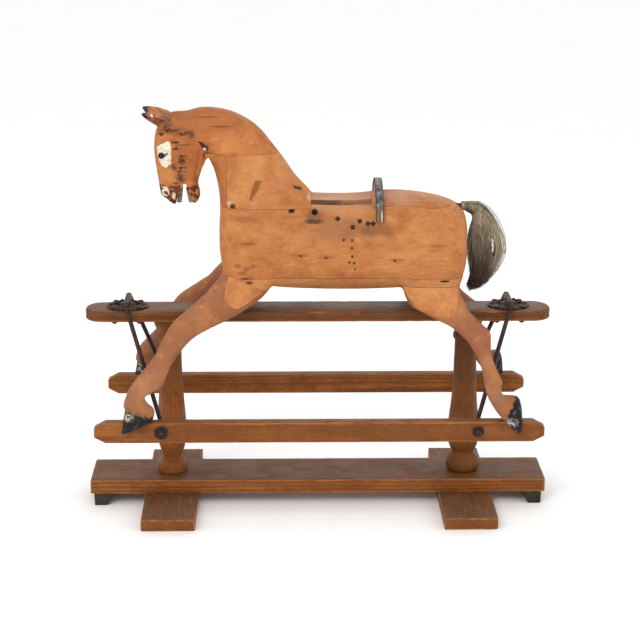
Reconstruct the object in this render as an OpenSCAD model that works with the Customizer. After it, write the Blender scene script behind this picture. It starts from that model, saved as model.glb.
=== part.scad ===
// Carved wooden rocking horse that swings on two irons over a safety stand.
// X runs from head (-) to tail (+), Y across, Z up; the origin is on the
// floor under the middle of the stand.

/* [Stand] */
// Length of the base board
board_l = 1270; // [1200:10:1340]
// Width of the base board
board_w = 168; // [150:2:190]
// Thickness of the base board
board_t = 40; // [36:1:44]
// Length of each cross foot, across the stand
foot_l = 540; // [480:10:600]
// Width of each cross foot, along the stand
foot_w = 146; // [120:2:160]
// Thickness of the cross feet and end battens
foot_t = 34; // [30:1:38]
// Distance of each post from the middle of the stand
post_x = 410; // [400:1:420]
// Length of the top rail
rail_l = 1280; // [1260:10:1300]
// Width of the top rail
rail_w = 106; // [104:1:112]
// Thickness of the top rail
rail_t = 30; // [26:1:34]
// Height of the top rail's upper face
rail_z = 554; // [552:1:556]

/* [Swing irons] */
// Distance of each upper pivot from the middle
top_pivot_x = 525; // [520:1:530]
// Height of the upper pivots
top_pivot_z = 573; // [571:1:574]
// Distance of each lower pivot from the middle
low_pivot_x = 425; // [420:1:430]
// Height of the lower pivots
low_pivot_z = 266; // [262:1:268]
// Diameter of the iron rod
iron_d = 12; // [10:0.5:13]
// Distance of each upper bend from the centre plane
bend_top_y = 60; // [58:1:64]
// Distance of each lower bend from the centre plane
bend_low_y = 176; // [168:1:180]

/* [Hoof rails] */
// Length of each hoof rail
hoof_rail_l = 1210; // [1190:2:1240]
// Height of each hoof rail
hoof_rail_h = 57; // [52:1:60]
// Thickness of each hoof rail
hoof_rail_t = 32; // [28:1:34]
// Distance of each hoof rail's middle from the centre plane
hoof_rail_y = 206; // [204:1:208]

/* [Fits] */
// Radial clearance of the irons in their bearings
run_gap = 0.05; // [0.02:0.01:0.1]
// Gap between the hoof rails and the washers
side_gap = 0.4; // [0.3:0.1:1]
// Length that the rear hoof rail slot leaves for the swing
slot_run = 9.6; // [9:0.1:12]

/* [Hidden] */
$fn = 48;

PINE = "#cf925f";
DARK_PINE = "#8a5a35";
IRON = "#3a3532";
HIDE = "#4a3b33";
HAIR = "#9b8f7a";

board_z = foot_t + board_t;
tenon_r = 19;
far_away = 2000;

// Hoof rail faces
hoof_rail_z = low_pivot_z - hoof_rail_h / 2 - 2;
hoof_rail_top = hoof_rail_z + hoof_rail_h;
rail_out = hoof_rail_y + hoof_rail_t / 2;

// Bracket and its bolts
plate_t = 5;
plate_r = 56;
plate_wy = 50;
bolt_dx = 34;
bolt_dy = 33;
bolt_r = 4;
nut_t = 7;
hub_r = 11;

// Post profiles: radius, height; the two posts were turned by eye and their bases differ
FRONT_BASE = [
    [38, board_z], [40.5, 79], [41, 88], [40.5, 98], [37, 106], [31, 111], [26, 114],
    [25.5, 119], [28, 125], [32, 137], [36, 150], [38.5, 170], [39.6, 195], [39.6, 221],
    [38.6, 245], [36.8, 268]
];
REAR_BASE = [
    [40, board_z], [44, 79], [47, 88], [47, 97], [44, 108], [38, 118], [33, 125],
    [31.5, 129], [34, 136], [38, 144], [41, 155], [42.3, 175], [42.6, 200], [41.7, 228],
    [39.5, 248], [37, 268]
];
POST_TOP = [
    [34.8, 300], [32.4, 348], [31.2, 398], [30.4, 440], [30, 458], [35, 466], [36, 472],
    [33, 480], [33, 486], [37, 494], [43, 506]
];

// Planes that the horse's blocks are glued on
belly_z = 660;
hip_z = 638;
neck_z = 847;
jaw_z = 987;
neck_x = -22;
seat_x = 140;
seat_y = 48;
top_y = 85;
throat_x = -248;
head_x = -304;
side_y = 70;
chest_x = -185;
rump_x = 325;
leg_y = 58;
fore_x = -124;
hind_x = 214;

// Barrel: x, underside, top, half width
BARREL = [
    [-269, 720, 800, 44], [-262, 680, 850, 78], [-240, 650, 873, 98], [-190, 630, 878, 110],
    [-110, 618, 875, 116], [0, 613, 867, 117], [100, 612, 867, 117], [180, 614, 875, 118],
    [250, 618, 873, 121], [320, 622, 861, 120], [365, 632, 846, 108], [392, 652, 826, 88],
    [404, 690, 795, 60]
];
barrel_square = 2.8;

// Neck and head in one sweep round the throat: x, z, half depth, tilt of the section, half width
NECK = [
    [-140, 835, 130, 3, 96], [-143, 862, 125, 5, 88], [-167, 907, 106, 7, 76],
    [-187, 950, 95, 10, 66], [-209, 985, 86, 17, 59], [-231, 1014, 78, 31, 55],
    [-263, 1035, 68, 58, 52], [-296, 1042, 64, 84, 50], [-325, 1041, 64, 108, 49],
    [-352, 1037, 72, 127, 48], [-371, 1016, 72, 147, 48], [-376, 991, 68, 164, 48],
    [-376, 966, 65, 173, 46], [-376, 936, 60, 180, 40], [-378, 903, 53, 181, 34],
    [-373, 875, 53, 180, 33], [-367, 857, 43, 180, 30], [-364, 846, 31, 180, 24]
];

// Legs: x, z, half depth, tilt of the section, y, half thickness
FORE_LEG = [
    [-188, 668, 76, 0, -82, 34], [-215, 628, 74, -10, -86, 34], [-251, 595, 61, -18, -96, 33],
    [-300, 566, 44, -38, -112, 30], [-338, 545, 37, -46, -124, 28], [-370, 522, 34, -42, -136, 27],
    [-399, 484, 29, -30, -150, 25], [-422, 446, 26, -27, -164, 24], [-456, 395, 34, -25, -182, 26],
    [-481, 375, 29, -13, -196, 27], [-496, 348, 29, 11, -208, 29], [-482, 326, 39, -6, -211, 31],
    [-485, 306, 42, 9, -212, 31], [-489, 281, 47, 25, -213, 30]
];
HIND_LEG = [
    [301, 668, 91, 0, -82, 36], [302, 628, 78, 0, -86, 36], [316, 594, 71, 10, -92, 35],
    [338, 578, 57, 16, -100, 33], [374, 553, 35, 33, -114, 29], [408, 525, 32, 28, -128, 26],
    [430, 504, 33, 25, -138, 25], [437, 481, 26, 20, -147, 23], [445, 455, 19, 15, -157, 22],
    [456, 424, 19, 12, -169, 22], [465, 395, 23, 8, -181, 24], [468, 370, 22, -5, -191, 24],
    [475, 351, 19, 27, -199, 25], [506, 333, 35, 47, -207, 28], [521, 311, 31, 50, -211, 29],
    [532, 285, 19, 51, -213, 28], [536, 264, 7, 40, -214, 24]
];

// Tail: x, z, half depth, tilt of the section, half thickness
TAIL = [
    [411, 835, 9, 90, 9], [430, 825, 22, 66, 18], [439, 798, 30, 38, 24], [447, 768, 40, 22, 26],
    [455, 728, 48, 6, 27], [455, 690, 44, -8, 27], [446, 655, 33, -22, 24],
    [431, 626, 22, -42, 19], [408, 607, 7, -62, 9]
];

// Cantle: a round arch over the back
cantle_x = 160;
cantle_z = 786;
cantle_r = 123;
cantle_t = 16;
cantle_end_z = 818;
binding_t = 3;

// Point on a Catmull-Rom curve through four rows
function curve(a, b, c, d, t) =
    b + (c - a) * t / 2 + (2 * a - 5 * b + 4 * c - d) * t * t / 2
    + (3 * b - a - 3 * c + d) * t * t * t / 2;

// Rows of a table with k smooth steps between each pair
function smooth(rows, k) = let (last = len(rows) - 1) concat(
    [for (i = [0 : last - 1], j = [0 : k - 1])
        curve(rows[max(i - 1, 0)], rows[i], rows[i + 1], rows[min(i + 2, last)], j / k)],
    [rows[last]]
);

function soft_sign(v, p) = sign(v) * pow(abs(v), p);

// Rounded section about centre c: half depth a along u, half width b along Y
function ring(c, u, a, b, square = 2.2, sides = 20) = [
    for (i = [0 : sides - 1])
        let (t = 360 * (i + 0.5) / sides)
        c + u * a * soft_sign(cos(t), 2 / square) + [0, b * soft_sign(sin(t), 2 / square), 0]
];

function reversed(v) = [for (i = [len(v) - 1 : -1 : 0]) v[i]];

// Closed skin over a list of rings; down is true where the rings run towards -Z
module skin(rings, down = false) {
    n = len(rings[0]);
    m = len(rings);
    walls = [for (i = [0 : m - 2], j = [0 : n - 1])
        let (a = i * n + j, b = i * n + (j + 1) % n)
        each [[b + n, b, a], [a + n, b + n, a]]];
    first = [for (j = [0 : n - 1]) j];
    last = [for (j = [n - 1 : -1 : 0]) (m - 1) * n + j];
    faces = concat(walls, [first, last]);
    polyhedron([for (r = rings) each r], down ? [for (f = faces) reversed(f)] : faces);
}

// Direction of a section that is tilted in the XZ plane
function tilted(a) = [cos(a), 0, sin(a)];

// Box that reaches far away from the given corner planes
module zone(x = [-far_away, far_away], y = [-far_away, far_away], z = [-far_away, far_away]) {
    translate([x[0], y[0], z[0]]) cube([x[1] - x[0], y[1] - y[0], z[1] - z[0]]);
}

module far_side() {
    mirror([0, 1, 0]) children();
}

module both_sides() {
    children();
    far_side() children();
}

// Round bar between two points
module bar(p, q, d) {
    v = q - p;
    translate(p) rotate([0, acos(v[2] / norm(v)), atan2(v[1], v[0])]) cylinder(h = norm(v), d = d);
}

// ---- Stand ----

module round_tenons(r = tenon_r) {
    for (x = [-post_x, post_x]) translate([x, 0, foot_t]) cylinder(h = rail_z - foot_t, r = r);
}

module base_board() {
    color(DARK_PINE) difference() {
        translate([-board_l / 2, -board_w / 2, foot_t]) cube([board_l, board_w, board_t]);
        round_tenons();
        foot_screws();
    }
}

module cross_foot(x) {
    color(DARK_PINE) difference() {
        translate([x - foot_w / 2, -foot_l / 2, 0]) cube([foot_w, foot_l, foot_t]);
        foot_screws();
    }
}

module front_foot() {
    cross_foot(-post_x);
}

module rear_foot() {
    cross_foot(post_x);
}

// Tapered batten under one end of the base board
module batten(side) {
    top_w = 56;
    low_w = 35;
    out = board_l / 2 - 9;
    color("#2e2a26") rotate([90, 0, 0]) translate([0, 0, -board_w / 2]) linear_extrude(board_w)
        polygon([
            [side * (out - top_w), foot_t], [side * out, foot_t],
            [side * (out - 2), 0], [side * (out - 2 - low_w), 0]
        ]);
}

module front_batten() {
    batten(-1);
}

module rear_batten() {
    batten(1);
}

// Screws through the cross feet into the base board
module foot_screws() {
    color(IRON) for (x = [-post_x, post_x], dx = [-50, 50], y = [-60, 60])
        translate([x + dx, y, 6]) {
            cylinder(h = 50, r = 2.5);
            cylinder(h = 4, r = 6);
        }
}

// Turned post with a round tenon at each end; low is the profile of its base
module post(x, low) {
    color(DARK_PINE) translate([x, 0, 0]) rotate_extrude() polygon(concat(
        [[0, foot_t], [tenon_r, foot_t], [tenon_r, board_z]], low, POST_TOP,
        [[44, rail_z - rail_t], [tenon_r, rail_z - rail_t], [tenon_r, rail_z], [0, rail_z]]
    ));
}

module front_post() {
    post(-post_x, FRONT_BASE);
}

module rear_post() {
    post(post_x, REAR_BASE);
}

module top_rail() {
    straight = rail_l - rail_w;
    color(DARK_PINE) difference() {
        union() {
            translate([-straight / 2, -rail_w / 2, rail_z - rail_t]) cube([straight, rail_w, rail_t]);
            for (x = [-straight / 2, straight / 2])
                translate([x, 0, rail_z - rail_t]) cylinder(h = rail_t, d = rail_w);
        }
        round_tenons();
        bracket_bolts();
    }
}

// Pierced oval plate with a bearing ridge across it
module bracket(x) {
    color(IRON) difference() {
        union() {
            translate([x, 0, rail_z]) difference() {
                intersection() {
                    cylinder(h = plate_t, r = plate_r);
                    zone(y = [-plate_wy, plate_wy]);
                }
                for (s = [-1, 1], a = [-32, 0, 32])
                    rotate([0, 0, a + 90 - s * 90]) translate([40, 0, -1])
                        cylinder(h = plate_t + 2, r = 7);
            }
            translate([x - hub_r, -plate_wy, rail_z])
                cube([2 * hub_r, 2 * plate_wy, top_pivot_z - rail_z]);
            translate([x, -plate_wy, top_pivot_z]) rotate([-90, 0, 0])
                cylinder(h = 2 * plate_wy, r = hub_r);
        }
        translate([x, -far_away, top_pivot_z]) rotate([-90, 0, 0])
            cylinder(h = 2 * far_away, r = iron_d / 2 + run_gap);
        bracket_bolts();
    }
}

module front_bracket() {
    bracket(-top_pivot_x);
}

module rear_bracket() {
    bracket(top_pivot_x);
}

module at_bracket_bolts() {
    for (x = [-top_pivot_x, top_pivot_x], dx = [-bolt_dx, bolt_dx], dy = [-bolt_dy, bolt_dy])
        translate([x + dx, dy, 0]) children();
}

module bracket_bolts() {
    below = 10;
    head_t = 4;
    color(IRON) at_bracket_bolts() {
        translate([0, 0, rail_z - rail_t - below]) cylinder(h = rail_t + below + plate_t, r = bolt_r);
        translate([0, 0, rail_z + plate_t]) cylinder(h = head_t, r = 7);
    }
}

module bracket_nuts() {
    color(IRON) at_bracket_bolts() translate([0, 0, rail_z - rail_t - nut_t]) difference() {
        translate([-7, -7, 0]) cube([14, 14, nut_t]);
        translate([0, 0, -1]) cylinder(h = nut_t + 2, r = bolt_r);
    }
}

// ---- Swing irons ----

// Rod bent into an inverted U, with ends that pass out through the hoof rails;
// the forged bends are a little fuller than the rod
module swing_iron(side) {
    bend_d = iron_d + 0.6;
    shoulder = [side * top_pivot_x, -bend_top_y, top_pivot_z];
    ankle = [side * low_pivot_x, -bend_low_y, low_pivot_z];
    end = [side * low_pivot_x, -rail_out - 14, low_pivot_z];
    color(IRON) {
        bar(shoulder, shoulder + [0, 2 * bend_top_y, 0], iron_d);
        both_sides() {
            translate(shoulder) sphere(d = bend_d);
            bar(shoulder, ankle, iron_d);
            translate(ankle) sphere(d = bend_d);
            bar(ankle, end, iron_d);
        }
    }
}

// Ring around an iron's end: y is its inner face, measured out from the centre plane
module end_ring(side, y, t, r) {
    both_sides() translate([side * low_pivot_x, -y, low_pivot_z]) rotate([90, 0, 0]) difference() {
        cylinder(h = t, r = r);
        translate([0, 0, -1]) cylinder(h = t + 2, d = iron_d);
    }
}

washer_t = 2.5;

module washers(side) {
    color(IRON) end_ring(side, rail_out + side_gap, washer_t, side < 0 ? 19 : 15.5);
}

// Domed nut that covers the end of the iron
module end_nuts(side) {
    nut_y = rail_out + side_gap + washer_t;
    dome_r = 11;
    color(IRON) both_sides() translate([side * low_pivot_x, -nut_y, low_pivot_z])
        rotate([90, 0, 0]) difference() {
            union() {
                cylinder(h = 8, r = dome_r);
                translate([0, 0, 8]) intersection() {
                    sphere(r = dome_r);
                    cylinder(h = dome_r, r = dome_r);
                }
            }
            translate([0, 0, -far_away]) cylinder(h = far_away + 14 - side_gap - washer_t, d = iron_d);
        }
}

module front_iron() {
    swing_iron(-1);
}

module front_washers() {
    washers(-1);
}

module front_nuts() {
    end_nuts(-1);
}

module rear_iron() {
    swing_iron(1);
}

module rear_washers() {
    washers(1);
}

module rear_nuts() {
    end_nuts(1);
}

// ---- Hoof rails ----

// Bore for the front iron and slot for the rear iron, through both rails
module rail_holes() {
    slot_r = iron_d / 2 + 1.6;
    rotate([90, 0, 0]) {
        translate([-low_pivot_x, low_pivot_z, -far_away])
            cylinder(h = 2 * far_away, r = iron_d / 2 + run_gap);
        for (dx = [0, slot_run]) translate([low_pivot_x + dx, low_pivot_z, -far_away])
            cylinder(h = 2 * far_away, r = slot_r);
        translate([low_pivot_x, low_pivot_z - slot_r, -far_away])
            cube([slot_run, 2 * slot_r, 2 * far_away]);
    }
}

module near_hoof_rail() {
    point_l = 30;
    point_h = 24;
    half = hoof_rail_l / 2;
    low = (hoof_rail_h - point_h) / 2;
    color(DARK_PINE) difference() {
        translate([0, -hoof_rail_y + hoof_rail_t / 2, hoof_rail_z]) rotate([90, 0, 0])
            linear_extrude(hoof_rail_t) polygon([
                [-half, low], [point_l - half, 0], [half - point_l, 0], [half, low],
                [half, low + point_h], [half - point_l, hoof_rail_h],
                [point_l - half, hoof_rail_h], [-half, low + point_h]
            ]);
        rail_holes();
        hoof_screws();
    }
}

module far_hoof_rail() {
    far_side() near_hoof_rail();
}

// Screws from inside each rail into the lip of the hoof
module hoof_screws() {
    color(IRON) both_sides() for (x = [-512, 520])
        translate([x, -rail_out - 10, hoof_rail_top - 14]) rotate([-90, 0, 0]) {
            cylinder(h = hoof_rail_t + 10, r = 2.5);
            translate([0, 0, hoof_rail_t + 7]) cylinder(h = 3, r = 6);
        }
}

// ---- Horse: body ----

module barrel() {
    skin([for (r = smooth(BARREL, 2))
        ring([r[0], 0, (r[1] + r[2]) / 2], [0, 0, -1], (r[2] - r[1]) / 2, r[3],
            barrel_square, 28)]);
}

module bottom_board() {
    color(PINE) intersection() {
        barrel();
        union() {
            zone(x = [fore_x, hind_x], z = [0, belly_z]);
            zone(y = [-leg_y, leg_y], z = [0, belly_z]);
        }
    }
}

// Edge strips of the bottom board, above each leg's joint
module near_fore_strip() {
    color(PINE) intersection() {
        limb(FORE_LEG);
        side_prism(leg_y, [[-215, belly_z], [-151, 629], [fore_x, 616], [fore_x, belly_z]]);
    }
}

module far_fore_strip() {
    far_side() near_fore_strip();
}

module near_hind_strip() {
    color(PINE) intersection() {
        limb(HIND_LEG);
        zone(x = [hind_x, far_away], y = [-far_away, -leg_y], z = [hip_z, belly_z]);
    }
}

module far_hind_strip() {
    far_side() near_hind_strip();
}

module near_side_board() {
    color(PINE) difference() {
        intersection() {
            barrel();
            union() {
                zone(y = [-far_away, -side_y], z = [belly_z, neck_z]);
                zone(x = [neck_x, seat_x], y = [-far_away, -seat_y], z = [neck_z, far_away]);
                zone(x = [seat_x, far_away], y = [-far_away, -top_y], z = [neck_z, far_away]);
            }
        }
        side_prism(leg_y, FORE_JOINT);
        saddle_hole();
        saddle_studs();
    }
}

module far_side_board() {
    far_side() near_side_board();
}

module chest_block() {
    color(PINE) difference() {
        intersection() {
            barrel();
            zone(x = [-far_away, chest_x], y = [-side_y, side_y], z = [belly_z, neck_z]);
        }
        both_sides() side_prism(leg_y, FORE_JOINT);
    }
}

module rump_block() {
    color(PINE) difference() {
        intersection() {
            barrel();
            zone(x = [rump_x, far_away], y = [-side_y, side_y], z = [belly_z, neck_z]);
        }
        tail_plug();
    }
}

module seat_board() {
    color(PINE) intersection() {
        barrel();
        zone(x = [neck_x, seat_x], y = [-seat_y, seat_y], z = [neck_z, far_away]);
    }
}

module top_board() {
    color(PINE) intersection() {
        barrel();
        zone(x = [seat_x, far_away], y = [-top_y, top_y], z = [neck_z, far_away]);
    }
}

// Blind hole below the neck where a saddle fitting was held
module saddle_hole() {
    depth = 30;
    translate([-13, -117 + depth, 840]) rotate([90, 0, 0]) cylinder(h = far_away, r = 8.5);
}

// Iron studs of the lost saddle, on the near side
module saddle_studs() {
    color(IRON) for (p = [[48, 824], [88, 803], [107, 818], [128, 812], [142, 812]])
        translate([p[0], -102, p[1]]) rotate([90, 0, 0]) cylinder(h = 17, r = 6);
}

// ---- Horse: neck and head ----

module neck() {
    skin([for (r = smooth(NECK, 2))
        ring([r[0], 0, r[1]], tilted(r[3]), r[2], r[4], 2.3, 24)]);
}

module neck_block() {
    color(PINE) intersection() {
        neck();
        zone(x = [throat_x, neck_x], z = [neck_z, jaw_z]);
    }
}

module throat_block() {
    color(PINE) intersection() {
        neck();
        zone(x = [head_x, throat_x], z = [neck_z, jaw_z]);
    }
}

module head_block() {
    mouth = [[-361, 902], [-397, 820], [-327, 820]];
    color(PINE) difference() {
        intersection() {
            neck();
            union() {
                zone(z = [jaw_z, far_away]);
                zone(x = [-far_away, head_x]);
            }
        }
        translate([0, far_away, 0]) rotate([90, 0, 0]) linear_extrude(2 * far_away) polygon(mouth);
        both_sides() {
            near_eye();
            near_ear();
        }
        bridle_tacks();
        teeth();
    }
}

module near_eye() {
    color("black") translate([-424, -36, 982]) sphere(r = 9);
}

module far_eye() {
    far_side() near_eye();
}

module near_ear() {
    color(PINE) translate([-408, -32, 1063]) rotate([0, -66, 0]) rotate([-7, 0, 0]) hull() {
        cylinder(h = 10, d = 32, $fn = 20);
        translate([0, 0, 28]) cylinder(h = 6, d = 26, $fn = 20);
        translate([0, 0, 62]) sphere(d = 6, $fn = 12);
    }
}

module far_ear() {
    far_side() near_ear();
}

// Upper and lower teeth in the open mouth
module teeth() {
    color("ivory") for (x = [-375, -348]) translate([x, 0, 862]) cube([9, 32, 20], center = true);
}

// Tacks that held the lost bridle, down the near cheek
module bridle_tacks() {
    color(IRON) for (i = [0 : 7]) translate([-382 + 1.9 * i, -30, 1019 - 14.6 * i])
        rotate([90, 0, 0]) cylinder(h = 19 - i, r = 2);
}

// ---- Horse: legs ----

module limb(rows) {
    skin([for (r = smooth(rows, 2))
        ring([r[0], r[4], r[1]], tilted(r[3]), r[2], r[5], 2.4, 16)], down = true);
}

// Space taken by the near hoof rail, which the hooves are notched over
module rail_notch() {
    zone(y = [-rail_out, 0], z = [0, hoof_rail_top]);
}

// Outline seen from the side, drawn out to the near side from a plane
module side_prism(inner_y, outline) {
    translate([0, -inner_y, 0]) rotate([90, 0, 0]) linear_extrude(far_away) polygon(outline);
}

muscle_y = 96;
FORE_JOINT = [[-700, 0], [-700, 668], [-232, 668], [-151, 629], [fore_x, 616], [fore_x, 0]];
SHOULDER = [
    [-236, 700], [-246, 662], [-252, 645], [-256, 611], [-247, 597], [-236, 588], [-220, 580],
    [-192, 594], [-159, 617], [-147, 627], [-120, 700]
];
THIGH = [
    [216, 700], [219, 636], [237, 608], [262, 579], [286, 565], [331, 556], [355, 559],
    [368, 575], [374, 607], [372, 700]
];

module fore_quarter() {
    intersection() {
        limb(FORE_LEG);
        side_prism(leg_y, FORE_JOINT);
    }
}

module hind_quarter() {
    intersection() {
        limb(HIND_LEG);
        zone(x = [hind_x, far_away], y = [-far_away, -leg_y], z = [0, hip_z]);
    }
}

module near_fore_leg() {
    color(PINE) difference() {
        fore_quarter();
        side_prism(muscle_y, SHOULDER);
        rail_notch();
        hoof_screws();
    }
}

module near_hind_leg() {
    color(PINE) difference() {
        hind_quarter();
        side_prism(muscle_y, THIGH);
        rail_notch();
        hoof_screws();
    }
}

module far_fore_leg() {
    far_side() near_fore_leg();
}

module far_hind_leg() {
    far_side() near_hind_leg();
}

module near_shoulder_block() {
    color(PINE) intersection() {
        fore_quarter();
        side_prism(muscle_y, SHOULDER);
    }
}

module near_thigh_block() {
    color(PINE) intersection() {
        hind_quarter();
        side_prism(muscle_y, THIGH);
    }
}

module far_shoulder_block() {
    far_side() near_shoulder_block();
}

module far_thigh_block() {
    far_side() near_thigh_block();
}

// ---- Horse: cantle and tail ----

// Round arch over the back, open below
module arch(r, t) {
    intersection() {
        translate([cantle_x - t / 2, 0, cantle_z]) rotate([0, 90, 0]) cylinder(h = t, r = r);
        zone(z = [cantle_end_z, far_away]);
    }
}

module cantle_board() {
    seat = ring([0, 0, 744], [0, 0, 1], 132, 118, barrel_square, 48);
    color(PINE) difference() {
        arch(cantle_r, cantle_t);
        rotate([90, 0, 90]) linear_extrude(far_away) polygon([for (p = seat) [p[1], p[2]]]);
    }
}

module cantle_binding() {
    color(HIDE) difference() {
        arch(cantle_r + binding_t, cantle_t + 4);
        rotate([0, 90, 0]) translate([-cantle_z, 0, 0]) cylinder(h = far_away, r = cantle_r);
    }
}

module tail_plug() {
    color(DARK_PINE) translate([372, 0, 834]) rotate([0, 90, 0]) cylinder(h = 38, r = 10);
}

module tail() {
    color(HAIR) skin([for (r = smooth(TAIL, 2))
        ring([r[0], 0, r[1]], tilted(r[3]), r[2], r[4], 2.1, 16)], down = true);
}

base_board();
front_foot();
rear_foot();
front_batten();
rear_batten();
foot_screws();
front_post();
rear_post();
top_rail();
front_bracket();
rear_bracket();
bracket_bolts();
bracket_nuts();
front_iron();
front_washers();
front_nuts();
rear_iron();
rear_washers();
rear_nuts();
near_hoof_rail();
far_hoof_rail();
hoof_screws();
bottom_board();
near_fore_strip();
far_fore_strip();
near_hind_strip();
far_hind_strip();
near_side_board();
far_side_board();
chest_block();
rump_block();
seat_board();
top_board();
neck_block();
throat_block();
head_block();
near_ear();
far_ear();
near_eye();
far_eye();
teeth();
near_fore_leg();
far_fore_leg();
near_hind_leg();
far_hind_leg();
near_shoulder_block();
far_shoulder_block();
near_thigh_block();
far_thigh_block();
cantle_board();
cantle_binding();
saddle_studs();
bridle_tacks();
tail_plug();
tail();
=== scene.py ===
import math
import random

import bmesh
import bpy
import numpy as np
from mathutils import Matrix, Vector, noise
from mathutils.bvhtree import BVHTree


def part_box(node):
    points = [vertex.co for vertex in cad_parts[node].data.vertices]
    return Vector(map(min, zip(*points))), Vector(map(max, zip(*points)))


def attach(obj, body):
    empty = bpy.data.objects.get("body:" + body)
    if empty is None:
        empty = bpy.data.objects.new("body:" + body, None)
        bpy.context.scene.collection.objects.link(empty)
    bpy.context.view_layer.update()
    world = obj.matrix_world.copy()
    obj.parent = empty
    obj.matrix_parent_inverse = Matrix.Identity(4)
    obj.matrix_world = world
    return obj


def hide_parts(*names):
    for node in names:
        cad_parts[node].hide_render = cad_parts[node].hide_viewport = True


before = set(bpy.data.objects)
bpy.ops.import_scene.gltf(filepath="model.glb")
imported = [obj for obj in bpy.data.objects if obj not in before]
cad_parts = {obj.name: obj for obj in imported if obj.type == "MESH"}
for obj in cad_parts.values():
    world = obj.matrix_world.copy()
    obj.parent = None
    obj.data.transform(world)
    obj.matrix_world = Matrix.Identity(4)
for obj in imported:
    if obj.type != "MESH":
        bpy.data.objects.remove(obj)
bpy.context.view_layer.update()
MM = 0.001


# ---------------------------------------------------------------------------
# Mesh helpers
# ---------------------------------------------------------------------------


def link(obj):
    bpy.context.scene.collection.objects.link(obj)
    return obj


def mesh_object(name, verts, faces, smooth=True):
    mesh = bpy.data.meshes.new(name)
    mesh.from_pydata([tuple(v) for v in verts], [], faces)
    mesh.validate()
    if smooth:
        mesh.shade_smooth()
    return link(bpy.data.objects.new(name, mesh))


def co_of(obj):
    co = np.empty(len(obj.data.vertices) * 3)
    obj.data.vertices.foreach_get("co", co)
    return co.reshape(-1, 3)


def set_co(obj, co):
    obj.data.vertices.foreach_set("co", np.ascontiguousarray(co).ravel())
    obj.data.update()


def normals_of(obj):
    no = np.empty(len(obj.data.vertices) * 3)
    obj.data.vertices.foreach_get("normal", no)
    return no.reshape(-1, 3)


def edges_of(obj):
    ed = np.empty(len(obj.data.edges) * 2, dtype=np.int64)
    obj.data.edges.foreach_get("vertices", ed)
    return ed.reshape(-1, 2)


def apply_modifiers(obj):
    depsgraph = bpy.context.evaluated_depsgraph_get()
    mesh = bpy.data.meshes.new_from_object(obj.evaluated_get(depsgraph))
    obj.modifiers.clear()
    old = obj.data
    obj.data = mesh
    bpy.data.meshes.remove(old)
    return obj


def modify(obj, kind, **settings):
    mod = obj.modifiers.new(kind.lower(), kind)
    for key, value in settings.items():
        setattr(mod, key, value)
    return apply_modifiers(obj)


def boolean(obj, other, operation):
    return modify(obj, "BOOLEAN", object=other, operation=operation, solver="MANIFOLD")


def remove(*objs):
    for obj in objs:
        bpy.data.objects.remove(obj, do_unlink=True)


def carved(obj, tool):
    """Cuts a tool out of an object and throws the tool away."""
    boolean(obj, tool, "DIFFERENCE")
    remove(tool)
    return obj


def copy_of(obj, name):
    new = obj.copy()
    new.data = obj.data.copy()
    new.name = name
    new.data.name = name
    return link(new)


def join(objs, name):
    """One object with the meshes of several."""
    bm = bmesh.new()
    for obj in objs:
        bm.from_mesh(obj.data)
    mesh = bpy.data.meshes.new(name)
    bm.to_mesh(mesh)
    bm.free()
    remove(*objs)
    return link(bpy.data.objects.new(name, mesh))


def relax(obj, mask, rounds, amount=0.5):
    """Moves each vertex towards the middle of its neighbours, as far as mask says."""
    co = co_of(obj)
    ed = edges_of(obj)
    n = len(co)
    both = np.concatenate([ed[:, 0], ed[:, 1]])
    other = np.concatenate([ed[:, 1], ed[:, 0]])
    count = np.maximum(np.bincount(both, minlength=n), 1)[:, None]
    weight = (np.asarray(mask) * amount)[:, None] if np.ndim(mask) else mask * amount
    for _ in range(rounds):
        mean = np.stack([np.bincount(both, co[other, k], n) for k in range(3)], 1) / count
        co += (mean - co) * weight
    set_co(obj, co)


def curve_row(a, b, c, d, t):
    return (
        b
        + (c - a) * t / 2
        + (2 * a - 5 * b + 4 * c - d) * t * t / 2
        + (3 * b - a - 3 * c + d) * t**3 / 2
    )


def smooth_rows(rows, steps):
    rows = [np.array(r, float) for r in rows]
    last = len(rows) - 1
    out = []
    for i in range(last):
        four = rows[max(i - 1, 0)], rows[i], rows[i + 1], rows[min(i + 2, last)]
        out += [curve_row(*four, j / steps) for j in range(steps)]
    return out + [rows[last]]


def fix_normals(obj):
    bm = bmesh.new()
    bm.from_mesh(obj.data)
    bmesh.ops.recalc_face_normals(bm, faces=bm.faces)
    bm.to_mesh(obj.data)
    bm.free()
    return obj


def ring(centre, u, a, b, square=2.2, sides=48):
    """Rounded section: half size a along u and b along Y."""
    t = (np.arange(sides) + 0.5) * 2 * math.pi / sides
    p = 2 / square
    along = np.sign(np.cos(t)) * np.abs(np.cos(t)) ** p * a
    side = np.sign(np.sin(t)) * np.abs(np.sin(t)) ** p * b
    return np.array(centre) + along[:, None] * np.array(u) + side[:, None] * np.array([0, 1, 0])


def skin(name, rings):
    """Closed skin over rings of points with the same count."""
    n, m = len(rings[0]), len(rings)
    faces = [
        (i * n + j, i * n + (j + 1) % n, (i + 1) * n + (j + 1) % n, (i + 1) * n + j)
        for i in range(m - 1)
        for j in range(n)
    ]
    faces += [tuple(range(n))[::-1], tuple(range((m - 1) * n, m * n))]
    obj = mesh_object(name, np.concatenate(rings), faces)
    return fix_normals(obj)


def tilted(angle):
    return np.array([math.cos(math.radians(angle)), 0, math.sin(math.radians(angle))])


def block(name, low, high):
    verts = [(x, y, z) for x in (low[0], high[0]) for y in (low[1], high[1]) for z in (low[2], high[2])]
    faces = [(0, 1, 3, 2), (4, 6, 7, 5), (0, 4, 5, 1), (2, 3, 7, 6), (0, 2, 6, 4), (1, 5, 7, 3)]
    return mesh_object(name, verts, faces, smooth=False)


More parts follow.
